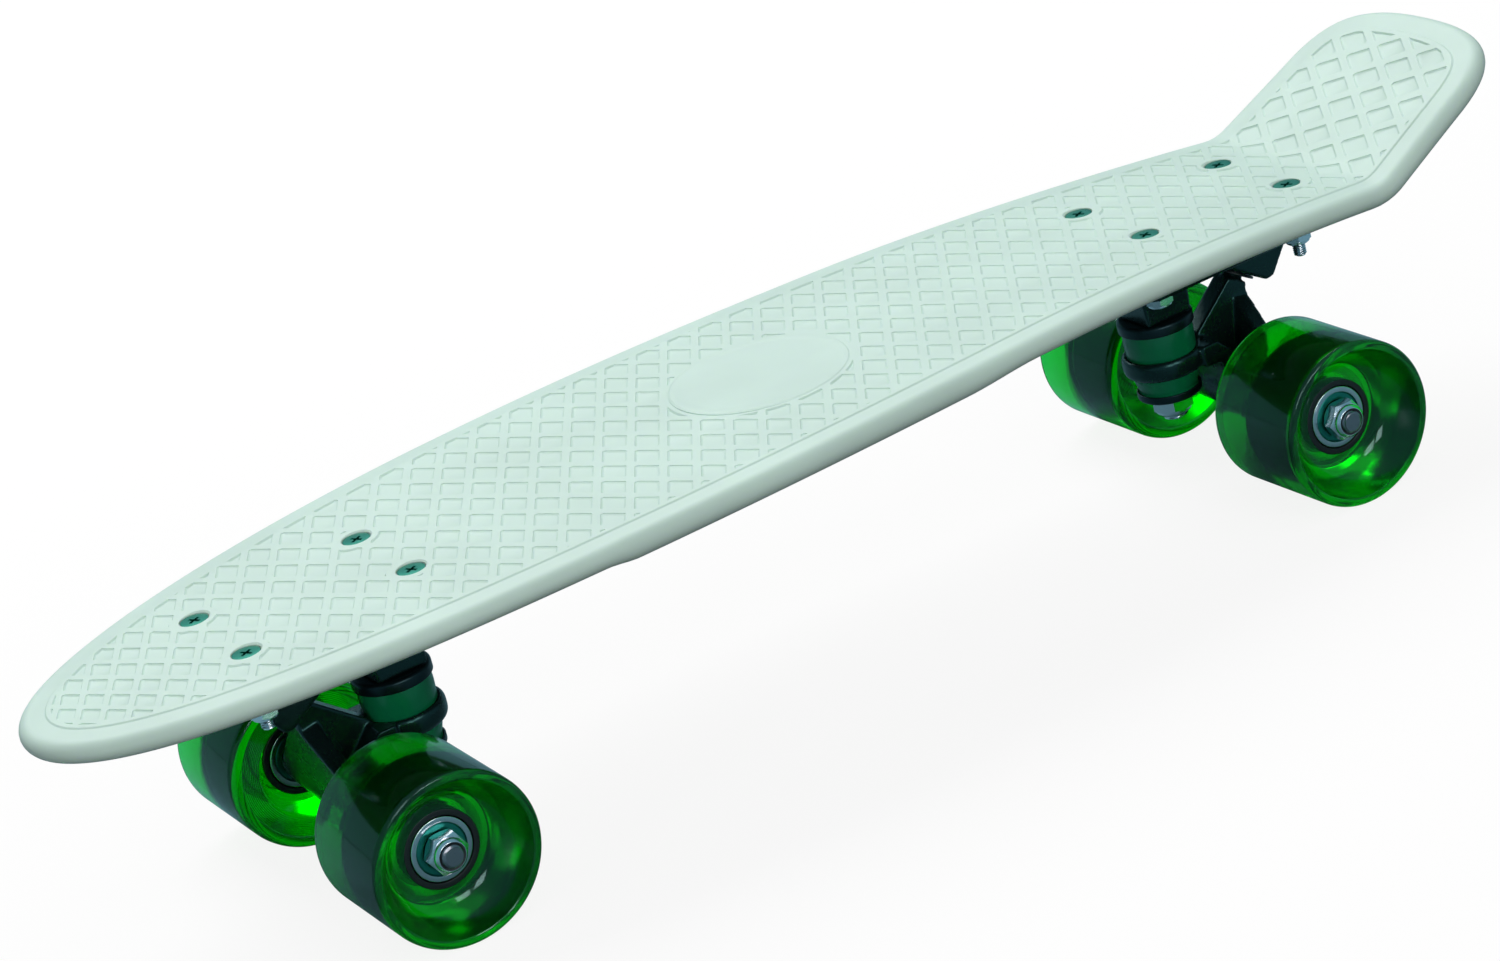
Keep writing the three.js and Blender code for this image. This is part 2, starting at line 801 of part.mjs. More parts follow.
function axleNut() {
  const low = axleNutStart;
  const shoulder = low + axleNutHeight;
  const high = shoulder + axleNutCollar;
  return cut(
    join(
      crossRod(hexRadius(axleNutWidth), low, shoulder, 6),
      crossRod(axleNutCollarDiameter / 2, low, high),
    ),
    crossRod(axleClear, low - overrun, high + overrun, pinSides),
  );
}

function bearing(start) {
  const end = start + bearingWidth;
  const [bore, radius] = [bearingBore / 2 + fitGap, bearingDiameter / 2];
  return turned([[bore, start], [radius, start], [radius, end], [bore, end]], roundSides);
}

function wheelCore() {
  const [radius, seat, bore] = [coreDiameter / 2, bearingDiameter / 2 + fitGap, coreBore / 2];
  const [webLow, webHigh] = [innerBearing + bearingWidth + fitGap, outerBearing - fitGap];
  return turned(
    [
      [radius, innerBearing],
      [radius, bearingEnd],
      [seat, bearingEnd],
      [seat, webHigh],
      [bore, webHigh],
      [bore, webLow],
      [seat, webLow],
      [seat, innerBearing],
    ],
    roundSides,
  );
}

function wheelTyre() {
  const hole = coreDiameter / 2 + fitGap;
  const edge = wheelRadius - treadEdge;
  const lip = edge - lipWidth;
  const round = innerEdge * (1 - Math.SQRT1_2);
  const dish = dishShares.map(([across, out]) => [
    hole + across * (lip - hole),
    bearingEnd + out * dishDepth,
  ]);
  return turned(
    [
      [innerStepRadius, wheelInner],
      [wheelRadius - innerEdge, wheelInner],
      [wheelRadius - round, wheelInner + round],
      [wheelRadius, wheelInner + innerEdge],
      [wheelRadius, wheelOuter - treadEdge],
      [edge, wheelOuter],
      [lip, wheelOuter],
      ...dish.reverse(),
      [hole, bearingEnd],
      [hole, innerBearing],
      [innerStepRadius, wheelInner + innerStepDepth],
    ],
    treadSides,
  ).rotateY(Math.PI / treadSides);
}

function piece(name, geometry, material) {
  const mesh = new THREE.Mesh(geometry, material);
  mesh.name = name;
  return mesh;
}

// A wheel with its bearings and nut, as it sits on the +Y end of an axle
function wheel(name) {
  const group = new THREE.Group();
  group.add(
    piece(`${name}_tyre`, wheelTyre(), greenUrethane),
    piece(`${name}_core`, wheelCore(), blackPlastic),
    piece(`${name}_inner_bearing`, bearing(innerBearing), brightSteel),
    piece(`${name}_outer_bearing`, bearing(outerBearing), brightSteel),
    piece(`${name}_axle_nut`, axleNut(), brightSteel),
  );
  return group;
}

// The kingpin and what it clamps, on its own axis
function kingpinStack(name) {
  const group = new THREE.Group();
  group.position.x = kingpinInboard;
  group.add(
    piece(`${name}_kingpin`, kingpin(), brightSteel),
    piece(`${name}_kingpin_nut`, kingpinNut(), brightSteel),
    piece(`${name}_upper_washer`, upperWasher(), blackPaint),
    piece(`${name}_upper_bushing`, upperBushing(), greenRubber),
    piece(`${name}_lower_bushing`, lowerBushing(), greenRubber),
    piece(`${name}_lower_washer`, lowerWasher(), blackPaint),
  );
  return group;
}

// A deck bolt and its lock nut, on their own axis
function fastener(name, headTop) {
  const group = new THREE.Group();
  group.add(
    piece(`${name}_bolt`, deckBolt(headTop), greenSteel),
    piece(`${name}_lock_nut`, lockNut(), brightSteel),
  );
  return group;
}

// A truck with its wheels; inboard is 1 where that is +X and -1 where the truck is turned round
function truck(name, axleX, inboard) {
  const group = new THREE.Group();
  group.position.set(axleX, 0, axleHeight);
  group.rotation.z = inboard > 0 ? 0 : Math.PI;
  group.add(
    piece(`${name}_baseplate`, baseplate(), blackPaint),
    piece(`${name}_pivot_cup`, pivotCup(), blackPlastic),
    piece(`${name}_hanger`, hanger(), blackPaint),
    piece(`${name}_axle`, axle(), brightSteel),
    kingpinStack(name),
  );
  for (const { end, x, y } of holePlaces) {
    const bolted = fastener(`${name}_${end}_${sideOf(inboard * y)}`, boltTop(axleX, inboard, x));
    bolted.position.set(x, y, 0);
    group.add(bolted);
  }
  for (const side of [1, -1]) {
    const rolling = wheel(`${name}_${sideOf(inboard * side)}`);
    rolling.rotation.z = side > 0 ? 0 : Math.PI;
    group.add(rolling);
  }
  return group;
}

const board = new THREE.Group();
board.add(
  piece("deck", deck(), mintPlastic),
  truck("front", frontAxleX, 1),
  truck("rear", rearAxleX, -1),
);

export default board;
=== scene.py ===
"""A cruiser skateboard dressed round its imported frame: a moulded waffle deck on two black trucks,
with green bushings and clear green cast wheels.

Forms are built in millimetres and come out in metres.
"""

import math

import bmesh
import bpy
import numpy as np
from mathutils import Matrix, Vector


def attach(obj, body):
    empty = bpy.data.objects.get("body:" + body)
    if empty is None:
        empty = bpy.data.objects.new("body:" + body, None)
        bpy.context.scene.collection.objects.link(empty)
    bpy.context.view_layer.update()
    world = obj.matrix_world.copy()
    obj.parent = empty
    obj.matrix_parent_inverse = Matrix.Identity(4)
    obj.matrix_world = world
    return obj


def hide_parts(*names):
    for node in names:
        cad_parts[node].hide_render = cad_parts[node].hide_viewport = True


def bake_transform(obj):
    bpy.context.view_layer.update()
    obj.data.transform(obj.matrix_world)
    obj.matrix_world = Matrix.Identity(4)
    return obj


bl_info = {
    "name": "Cruiser Skateboard",
    "version": (1, 0, 0),
    "blender": (4, 5, 0),
    "location": "View3D > Sidebar > Cruiser Board",
    "description": "Builds the moulded deck, trucks and cast wheels of a cruiser skateboard",
    "category": "Object",
}

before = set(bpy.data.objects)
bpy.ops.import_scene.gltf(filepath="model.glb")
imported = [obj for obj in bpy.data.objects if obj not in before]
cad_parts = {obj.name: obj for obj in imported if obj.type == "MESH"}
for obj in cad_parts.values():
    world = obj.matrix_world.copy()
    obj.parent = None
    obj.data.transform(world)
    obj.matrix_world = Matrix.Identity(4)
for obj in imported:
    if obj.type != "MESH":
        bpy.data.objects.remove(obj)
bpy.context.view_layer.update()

MM = 0.001
TINY = 1e-6
OVERRUN = 2.0  # how far a cutting form runs past the face it opens
FIT = 0.3  # the clearance between pieces
EDGE = 0.3  # radius of a fine rounded edge
LAP = 0.1  # by which two parts of one piece overlap inside
SQUARE = ((1, 1), (-1, 1), (-1, -1), (1, -1))  # the signs of a rectangle's corners
STAND = Matrix(((0, 0, 1, 0), (1, 0, 0, 0), (0, 1, 0, 0), (0, 0, 0, 1)))  # lays Z along X

# Deck, seen from the side
ARCH_LENGTH = 504.5
ARCH_SHARES = (0.138, 0.3, 0.684, 0.793, 0.92)
NOSE_DROP = 10.4
NOSE_HANDLE_SHARE = 0.385
HEEL_DROP = 8.9
HEEL_HANDLE_SHARE = 0.5
HEEL_RUN = 5.0
KICK_ANGLE = math.radians(26)
KICK_LENGTH = 68.8
CURVE_STEPS = 400

# Deck, seen from above and unrolled
DECK_WIDTH = 148.0
OUTLINE_SHARES = (
    ((0, 0), (0, 0.66), (0.17, 1), (0.393, 1)),
    ((0.393, 1), (0.578, 1), (0.738, 0.765), (0.943, 0.67)),
    ((0.943, 0.67), (0.988, 0.65), (1, 0.44), (1, 0)),
)
OUTLINE_STEPS = 300
CROWDING_SHARE = 0.6  # how much closer the outline's points lie at its ends

# Deck, cut across
RIM_DEPTH = 8.8
BELLY_EXTRA = 1.3
BELLY_SHARES = (0.305, 0.325, 0.55, 0.6)
RIM_ROUND = 4.6
RIM_STEPS = 14
RIM_FLAT = 9.0
RIM_DRAFT = 4.0
PLATE = 5.4
BORDER_WIDTH = 9.8
BORDER_SLOPE = 0.9
BORDER_DROP = 0.55  # of the flat border below the waffle field
BORDER_STEPS = 6

# Waffle: ribs in two slanted families, with pockets between them
RIB_SLANT = math.radians(60)
RIB_CROSSING = 4.8  # x of a crossing on the centre line
CLOSING_FROM = -130.0  # x where the ribs start to close up towards the nose
CLOSING = (160.0, 0.26)  # the share by which they have closed up over a length from there
POCKET_BORDER = 1.5  # between the edge of the field and the pockets
POCKET_FLARES = (0.7, 0.12)  # inset of a pocket's floor, and of its wall at half the depth
POCKET_CORNER = 0.9
CLEAR_REACH = 6.0  # how far the cones that keep pockets clear reach up and down
HOLE_RING = 8.0  # radius of the flat left round each bolt
SLIVER = 20.0  # area below which what is left of a pocket is left out
PLAQUE = (31.0, 0.4, 1.5, 0.15)  # radius, rise, width of its lip, and dish of its face
PLAQUE_FOOT = 0.8  # by which its slope starts wider
PLAQUE_RING = 33.0  # radius that the pockets keep clear of

# Underside
UNDER_RIBS = (-24.0, 0.0, 24.0)
UNDER_RIB = (190.0, 3.0, 4.0)  # length, width, depth
UNDER_BURY = 1.4
UNDER_DRAFT = 0.5
UNDER_CORNER = 0.6

# Trucks and the deck's bolts, from the axle
AXLE_HEIGHT = 29.756
CREST = AXLE_HEIGHT + 76.8
FRONT_AXLE = -189.587
WHEELBASE = 362.4
NOSE_TO_AXLE = 99.5
HOLE_PITCH = (61.3, 41.3)
HOLE_SHIFT = 2.8
HOLE_CHAMFER = 0.35
HOLE_WALL = 0.4  # from the head's level down to the hole's cone
HOLE_REACH = 30.0  # below the head, through deck and pad
PAD_FOOT = 57.3
PAD_MARGIN = 8.0
PAD_CORNER = 6.0
PAD_BURY = 3.0
BOLT = 4.8
BOLT_HEAD = (9.6, 2.6)  # diameter, height
HEAD_WALL = 0.5  # the straight wall above its cone
BOLT_SINK = 0.5
BOLT_LENGTH = 27.2
BOLT_THREAD = (12.0, 0.8)  # length, pitch
CROSS_RECESS = (4.6, 1.1, 1.6, 0.5)  # length, width, depth, slope of its ends
CROSS_TURN = 0.5
DECK_NUT = (9.5, 4.4, 1.4, 4.3)  # width, height, and its collar's height and radius

# Baseplate
FLANGE = 6.2
FLANGE_MARGIN = 7.5
FLANGE_CORNER = 5.5
FLANGE_FOOT = PAD_FOOT - FLANGE
BOSS_FOOT = FLANGE_FOOT - 15.3
BOSS = (18.5, 21.2, 1.5)  # length, width, slope of the ends
HOUSING_WIDTH = 25.0
HOUSING_POINTS = ((-32.5, 0), (-20.5, 16.2), (-17.2, 16.5), (-4.4, 8.3), (-2.9, 0))

# Kingpin and what it clamps, up from the axle
KINGPIN_X = 24.4
KINGPIN = 9.5
KINGPIN_BORE = KINGPIN / 2 + FIT
KINGPIN_NUT = (14.3, 6.8, 2.0, 6.6)  # width, height, and its collar's height and radius
KINGPIN_TAIL = 1.8  # of the thread below its nut
KINGPIN_THREAD = (4.0, 1.25)  # reach above the nut, pitch
KINGPIN_HEAD = 6.2
UPPER_WASHER = (27.6, BOSS_FOOT - FIT, -4.2)  # diameter, flat face, reach of the wall
LOWER_WASHER = (23.6, 4.5, 3.2)
WASHER_PLATE = 1.5
WASHER_WALL = 0.7
RING = 29.8
RING_HEIGHT = 8.8
RING_FOOT = 13.8
RING_TOP = RING_FOOT + RING_HEIGHT
RING_X = KINGPIN_X - RING / 2
RING_ROUND_SHARE = 0.35  # of its height, that rounds its edges
RING_BORE = 17.0
RING_SEAT = 2.0
UPPER_BUSHING = (12.6, 12.9, 20.0)  # radius at its ends and its middle, and its bulge's radius
LOWER_BUSHING = ((10.7, 8.2), (12.2, 13.2))  # radius and height where its cone starts and ends

# Hanger
HANGER_HALF = 39.7
HANGER_BOSS = 1.9
HANGER_RADII = (5.6, 6.4, 7.8, 9.0)  # boss, shoulder, beside the shoulder, middle
SHOULDER_LENGTH = 3.0
WEB_THICKNESS = 6.5
WEB_OUTBOARD = -8.0
WEB_LEAN = math.radians(10.2)
WEB_POINTS = ((-38, -2), (38, -2), (38, 2), (0, 33.5), (-38, 2))
SPINE_THICKNESS = 9.0
YOKE_HALF = 14.0
YOKE_FOOT = ((-3, -6), (6, -6))
YOKE_BACK = (-6, 6)
SEAT_RADII = (12.7, 13.4)  # that the lower and the upper bushing have room in
NOSE_ANGLE = math.radians(57)
NECK_FOOT = Vector((-10.2, 0, 35.8))
NECK_RADIUS = 3.9
NECK_LENGTH = 9.0
NOSE_RADIUS = 5.3
CUP = (1.4, 7.5, 0.9, 2.4)  # wall, depth, lip, floor

# Axle, bearings and wheels, out from the middle of the axle
AXLE = 7.94
AXLE_LENGTH = 149.0
AXLE_PITCH = 1.0
AXLE_NUT = (12.7, 5.2, 2.1)  # width, height, height of its collar
AXLE_PLAY = 0.05
COLLAR_RADII = (0.9, 4.9, 5.9)  # inside, over the axle's own; then at its end, and outside
COLLAR_ROUND = (1.1, 0.9)  # where its shoulder starts over the hexagon, and the shoulder's radius
COLLAR_SINK = 0.5  # into the hexagon
INSERT = (1.6, 0.4, 0.15, 0.02)  # reach, how deep its bore and its rim lie, and its play
BEARING = (11.0, 7.0, 4.0)  # radius, width, radius of the bore
BEARING_RACES = (6.0, 9.0)
BEARING_GAP = 10.0
BEARING_LAP = 1.0  # by which the axle's thread starts inside the outer bearing
SHIELD = (6.25, 6.7, 8.5, 9.1)  # radii: bore, inner edge, outer edge, seat
SHIELD_SINK = 0.45  # of its face below the rings
SHIELD_DEPTHS = (0.35, 0.5, 0.9)  # from its face to its rolled bore, its seat's edge and its back
WHEEL = 2 * AXLE_HEIGHT
WHEEL_WIDTH = 45.4
DISH = 12.1
DISH_STEPS = 22
DISH_POWER = 2.4
TREAD_EDGE = 1.6
INNER_EDGE = 2.4
LIP = 1.6
LIP_DROP = 0.25
CORE = 27.0
CORE_BORE = 8.0
CORE_GRIP = 0.2  # by which the tyre overlaps its core
LIP_ROUND = (0.6, 0.5)  # how far outside the lip its edge lies, and that edge's radius
INNER_SHOULDER = (15.4, 1.0, 1.5)  # radius, rise out of the core, and sink where it starts
INNER_STEP = (19.0, 2.4, 1.0)  # radius, depth, and run of its wall
GROOVE_DEPTH = 0.25
GROOVE_MARGIN = 1.5
INNER_BEARING = HANGER_HALF + HANGER_BOSS + FIT
OUTER_BEARING = INNER_BEARING + BEARING[1] + BEARING_GAP
BEARING_END = OUTER_BEARING + BEARING[1]
WHEEL_OUTER = BEARING_END + DISH
WHEEL_INNER = WHEEL_OUTER - WHEEL_WIDTH

TRUCKS = {"front": (FRONT_AXLE, 0.0), "rear": (FRONT_AXLE + WHEELBASE, math.pi)}

# Edges that turn by more degrees than this stay sharp
DECK_SHARP = 18
METAL_SHARP = 25
MOULDED_SHARP = 32
WHEEL_SHARP = 40
RUBBER_SHARP = 60
CAST_SHARP = 180

# Camera that took the board, in the frame's own axes
CAMERA_AT = Vector((-0.6293, -1.2806, 0.65065))
CAMERA_AZIMUTH = math.radians(-25.385)
CAMERA_ELEVATION = math.radians(22.215)
CAMERA_ROLL = math.radians(-14.501)
CAMERA_LENS = 108.13
CAMERA_SENSOR = 36.0

# Studio, in metres
FLOOR_HALF = 12.0
SOFTBOXES = {  # place, and length by width
    "key": ((0.3, 1.8, 2.4), (2.6, 2.0)),
    "side": ((-1.9, -0.7, 0.4), (0.5, 0.8)),
    "left": ((-0.43, -1.96, 0.64), (0.5, 0.6)),
    "right": ((0.25, -1.86, 0.81), (0.5, 0.6)),
}
SOFTBOX_AIM = (0, 0, 0.05)
FILL_FROM = (0.1, -0.6, 0.8)
FILL_SPREAD = math.radians(60)
FLOOR_REFLECTED = 0.4  # of the floor's brightness, seen in reflections
ROOM_REFLECTED = 0.38  # of the surroundings' brightness, seen in reflections
ROOM_TINT = "#a6e9ff"  # of the backdrop, seen in reflections
GLOW_SHARE = 0.88  # of the floor's brightness that no shadow takes away for the camera
BOUNCE_SHARE = 0.04  # of the light on the floor that goes back up to the board


# Forms: temporary objects in millimetres


def new_object(name, data):
    made = bpy.data.objects.new(name, data)
    bpy.context.scene.collection.objects.link(made)
    return made


def form(points, faces):
    mesh = bpy.data.meshes.new("form")
    mesh.from_pydata([tuple(p) for p in points], [], faces)
    return new_object("form", mesh)


def walls(rings, count):
    """The quads between rings of points that follow each other, each with the same count."""
    return [
        (low + k, low + (k + 1) % count, low + count + (k + 1) % count, low + count + k)
        for low in range(0, (rings - 1) * count, count)
        for k in range(count)
    ]


def column(rings, count):
    """The faces of a solid whose rings of points end in two flat caps."""
    last = (rings - 1) * count
    ends = [list(range(count))[::-1], list(range(last, last + count))]
    return ends + walls(rings, count)


def rounded(points, steps=5):
    """The points of an outline; a third number of a point is the radius that rounds its corner."""
    result = []
    for i, (x, y, *radius) in enumerate(points):
        here = Vector((x, y))
        if not radius:
            result.append(here)
            continue
        back = (Vector(points[i - 1][:2]) - here).normalized()
        ahead = (Vector(points[(i + 1) % len(points)][:2]) - here).normalized()
        half = back.angle(ahead) / 2
        middle = here + (back + ahead).normalized() * radius[0] / math.sin(half)
        start = here + back * radius[0] / math.tan(half) - middle
        sweep = start.angle_signed(here + ahead * radius[0] / math.tan(half) - middle)
        turns = (Matrix.Rotation(-sweep * step / steps, 2) for step in range(steps + 1))
        result += [middle + turn @ start for turn in turns]
    return result


def runs_left(outline):
    """Whether a closed outline runs anticlockwise."""
    ahead = [*outline[1:], outline[0]]
    return sum(a[0] * b[1] - b[0] * a[1] for a, b in zip(outline, ahead)) > 0


def turned(profile, sides=72):
    """A profile of (radius, height) turned about Z. It is closed, or it starts and ends on Z."""
    points, rings, faces = [], [], []
    for radius, height in profile:
        if radius < TINY:
            rings.append([len(points)] * sides)
            points.append((0, 0, height))
            continue
        rings.append(list(range(len(points), len(points) + sides)))
        for k in range(sides):
            angle = 2 * math.pi * k / sides
            points.append((radius * math.cos(angle), radius * math.sin(angle), height))
    on_axis = profile[0][0] < TINY and profile[-1][0] < TINY
    outward = runs_left(profile)
    for low, high in zip(rings, rings[1:] if on_axis else rings[1:] + rings[:1]):
        for k in range(sides):
            n = (k + 1) % sides
            face = list(dict.fromkeys((low[k], low[n], high[n], high[k])))
            if len(face) > 2:
                faces.append(face if outward else face[::-1])
    return form(points, faces)


def rod(radius, low, high, sides=72):
    return turned([(0, low), (radius, low), (radius, high), (0, high)], sides)


def prism(outline, low, high):
    """An outline in the XY plane pulled up from low to high."""
    outline = outline if runs_left(outline) else outline[::-1]
    points = [(x, y, z) for z in (low, high) for x, y in outline]
    return form(points, column(2, len(outline)))


def moved(made, matrix):
    made.data.transform(matrix)
    return made


def shifted(made, x=0.0, y=0.0, z=0.0):
    return moved(made, Matrix.Translation((x, y, z)))


def side_prism(outline, thickness):
    """An outline in the XZ plane, as thick as given about Y = 0."""
    made = prism(outline, -thickness / 2, thickness / 2)
    return moved(made, Matrix.Rotation(math.pi / 2, 4, "X"))


def across(made):
    """Lays a form that stands on Z along Y."""
    return moved(made, Matrix.Rotation(-math.pi / 2, 4, "X"))


def placed(made, place):
    """A copy of a form, set at a place."""
    return moved(new_object("form", made.data.copy()), place)


def discard(*forms):
    for made in forms:
        mesh = made.data
        bpy.data.objects.remove(made)
        bpy.data.meshes.remove(mesh)


def applied(made):
    """Turns the modifiers of a form into its mesh."""
    graph = bpy.context.evaluated_depsgraph_get()
    mesh = bpy.data.meshes.new_from_object(made.evaluated_get(graph))
    old = made.data
    made.modifiers.clear()
    made.data = mesh
    bpy.data.meshes.remove(old)
    return made


def boolean(made, others, operation):
    for other in others:
        modifier = made.modifiers.new("boolean", "BOOLEAN")
        modifier.solver = "MANIFOLD"
        modifier.operation = operation
        modifier.object = other
    applied(made)
    discard(*others)
    if not made.data.polygons:
        raise RuntimeError(f"nothing was left after a {operation.lower()} of forms")
    return made


def joined(made, *others):
    return boolean(made, others, "UNION")


def cut(made, *others):
    return boolean(made, others, "DIFFERENCE")


def heap(forms):
    """One form from several, which keep their own faces."""
    points, faces = [], []
    for made in forms:
        start = len(points)
        points += [v.co.copy() for v in made.data.vertices]
        faces += [[start + i for i in p.vertices] for p in made.data.polygons]
    discard(*forms)
    return form(points, faces)


def without_slivers(made, least):
    """Drops the separate pieces of a form whose area seen from above is less than the least."""
    mesh = bmesh.new()
    mesh.from_mesh(made.data)
    left, slivers = set(mesh.faces), []
    while left:
        island, front = [], [left.pop()]
        while front:
            face = front.pop()
            island.append(face)
            near = {other for edge in face.edges for other in edge.link_faces} & left
            left -= near
            front += near
        if sum(face.calc_area() * max(face.normal.z, 0) for face in island) < least:
            slivers += island
    bmesh.ops.delete(mesh, geom=slivers, context="FACES")
    mesh.to_mesh(made.data)
    mesh.free()
    return made


def cast(made, grain, rounds):
    """Melts the hard edges of a joined form into the soft fillets of a casting."""
    remesh = made.modifiers.new("remesh", "REMESH")
    remesh.mode = "VOXEL"
    remesh.voxel_size = grain
    smooth = made.modifiers.new("smooth", "SMOOTH")
    smooth.factor = 0.5
    smooth.iterations = rounds
    return applied(made)


def hexagon(width):
    radius = width / math.sqrt(3)
    turns = [math.pi * k / 3 for k in range(6)]
    return [(radius * math.cos(turn), radius * math.sin(turn)) for turn in turns]


def threaded(diameter, low, high, pitch, sides=40):
    """A rod along Z with a screw thread and chamfered ends."""
    depth, chamfer = 0.5 * pitch, 0.6
    levels = np.arange(low, high + TINY, pitch / 5)
    points = []
    for level in levels:
        end = min(level - low, high - level)
        for k in range(sides):
            turn = k / sides
            wave = abs(2 * ((level / pitch - turn) % 1) - 1)
            radius = diameter / 2 - depth * wave - max(chamfer - end, 0)
            angle = 2 * math.pi * turn
            points.append((radius * math.cos(angle), radius * math.sin(angle), level))
    middle, top = len(points), len(points) - sides
    points += [(0, 0, low), (0, 0, levels[-1])]
    faces = walls(len(levels), sides)
    for k in range(sides):
        n = (k + 1) % sides
        faces += [(middle, n, k), (middle + 1, top + k, top + n)]
    return form(points, faces)


def hex_nut(width, low, high, bore, chamfer=0.7):
    """A hexagon nut along Z with chamfered corners and bore at both ends."""
    edge, corner, flat = 0.5, width / math.sqrt(3), width / 2 - 0.2
    trim = [(0, low), (flat, low), (corner, low + chamfer), (corner, high - chamfer)]
    trim += [(flat, high), (0, high)]
    blank = prism(hexagon(width), low - OVERRUN, high + OVERRUN)
    wide = bore + edge + OVERRUN
    hole = [(0, low - OVERRUN), (wide, low - OVERRUN), (bore, low + edge)]
    hole += [(bore, high - edge), (wide, high + OVERRUN), (0, high + OVERRUN)]
    return cut(boolean(blank, [turned(trim)], "INTERSECT"), turned(hole, 40))


def lock_nut(sizes, top, bore):
    """A hexagon nut along Z, with the round collar that holds its nylon at its low end."""
    width, height, collar, radius = sizes
    low, inside = top - height, bore + FIT
    lap = low + collar + 0.6
    profile = [(inside, lap), (inside, low), (radius - 1, low, EDGE)]
    profile += [(radius, low + collar / 2, 0.4), (radius, lap)]
    return heap([hex_nut(width, low + collar, top, bore), turned(rounded(profile), 48)])


# Materials


def linear(hex_color):
    """An sRGB hex colour as linear red, green, blue and alpha."""
    values = [int(hex_color[i : i + 2], 16) / 255 for i in (1, 3, 5)]
    return [v / 12.92 if v <= 0.04045 else ((v + 0.055) / 1.055) ** 2.4 for v in values] + [1.0]


def feed(tree, node, inputs):
    """Sets inputs to a value or a hex colour, or links them to an output or a node's first one."""
    for socket, value in inputs.items():
        if isinstance(value, bpy.types.Node):
            value = value.outputs[0]
        if isinstance(value, bpy.types.NodeSocket):
            tree.links.new(value, node.inputs[socket])
        else:
            node.inputs[socket].default_value = linear(value) if isinstance(value, str) else value


def add_node(tree, kind, inputs=(), **settings):
    """Adds a node with its settings and links."""
    made = tree.nodes.new(kind)
    for name, value in settings.items():
        setattr(made, name, value)
    feed(tree, made, dict(inputs))
    return made


def mottle(tree, size_mm, detail=2.0):
    """A pattern of blotches as large as the size given, on the object's own metres."""
    place = add_node(tree, "ShaderNodeTexCoord").outputs["Object"]
    inputs = {"Vector": place, "Scale": 1 / (size_mm * MM), "Detail": detail}
    return add_node(tree, "ShaderNodeTexNoise", inputs)


def finish(name, values, blotches=None, relief=None):
    """A material with one shader, fed with the values. Blotches are the size, detail, least and
    most of its wandering roughness, and relief is its grain, detail, depth and strength, with
    sizes in millimetres."""
    material = bpy.data.materials.new(name)
    material.use_nodes = True
    tree = material.node_tree
    shader = tree.nodes["Principled BSDF"]
    feed(tree, shader, values)
    material.diffuse_color = shader.inputs["Base Color"].default_value
    if blotches:
        size, detail, least, most = blotches
        inputs = {"Value": mottle(tree, size, detail), "To Min": least, "To Max": most}
        feed(tree, shader, {"Roughness": add_node(tree, "ShaderNodeMapRange", inputs)})
    if relief:
        size, detail, depth, strength = relief
        inputs = {"Height": mottle(tree, size, detail), "Distance": depth * MM}
        inputs["Strength"] = strength
        feed(tree, shader, {"Normal": add_node(tree, "ShaderNodeBump", inputs)})
    return material


def deck_plastic(color):
    # Polypropylene, moulded against a fine spark-eroded tool: an even satin, soft in the edges
    # because a little light enters it. The tool's grain is about 0.05 mm and is drawn at 0.5 mm
    # so that it shows.
    values = {"Roughness": 0.52, "IOR": 1.49, "Subsurface Weight": 0.2}
    values |= {"Subsurface Radius": (1.2, 1.4, 0.7), "Subsurface Scale": 0.002}
    blotches, relief = (9, 2, 0.48, 0.56), (0.5, 3, 0.02, 0.35)
    material = finish("polypropylene_mint_moulded", values, blotches, relief)
    tree = material.node_tree
    ramp = add_node(tree, "ShaderNodeValToRGB", {"Fac": mottle(tree, 38)})
    for stop, place, share in zip(ramp.color_ramp.elements, (0.35, 0.65), (0.975, 1.035)):
        stop.position = place
        stop.color = [min(1.0, c * share) for c in color[:3]] + [1.0]
    feed(tree, tree.nodes["Principled BSDF"], {"Base Color": ramp})
    return material


def truck_paint(color):
    # Stove enamel over die-cast aluminium: black and glossy, with a sea-green cast in its shine
    # and the casting's slow waves in it.
    values = {"Base Color": color, "Roughness": 0.24, "IOR": 1.5, "Specular Tint": "#aafff9"}
    blotches, relief = (5, 2, 0.2, 0.32), (2.2, 1, 0.05, 0.3)
    return finish("enamel_black_on_cast_aluminium", values, blotches, relief)


def washer_steel():
    # Pressed steel with a black oxide: dark, a little metallic and duller than the enamel.
    values = {"Base Color": "#1d3034", "Metallic": 0.8, "Roughness": 0.32}
    return finish("steel_black_oxide_pressed", values, (3, 2, 0.26, 0.4))


def bright_steel():
    # Bright zinc plate on machined steel: a clear silver, with tool marks too fine to see apart.
    values = {"Base Color": "#dfe4ea", "Metallic": 1.0, "Roughness": 0.2}
    return finish("steel_bright_zinc_plate", values, (1.6, 3, 0.14, 0.28), (0.6, 2, 0.01, 0.4))


def axle_steel():
    # Plain drawn steel, lightly oiled: darker and a little warmer than the plated nuts.
    values = {"Base Color": "#8d8c92", "Metallic": 1.0, "Roughness": 0.3}
    return finish("steel_plain_drawn", values, (1.2, 2, 0.24, 0.38))


def ground_steel():
    # Bearing steel, ground and lapped: a mirror with a faint unevenness.
    values = {"Base Color": "#c4c9cc", "Metallic": 1.0, "Roughness": 0.18}
    return finish("bearing_steel_ground", values, (0.8, 2, 0.14, 0.24))


def shield_steel():
    # Pressed shield with a green lacquer, which keeps the metal's shine.
    values = {"Base Color": "#1d7f74", "Metallic": 0.75, "Roughness": 0.3}
    return finish("shield_steel_green_lacquer", values, (2.5, 2, 0.24, 0.36))


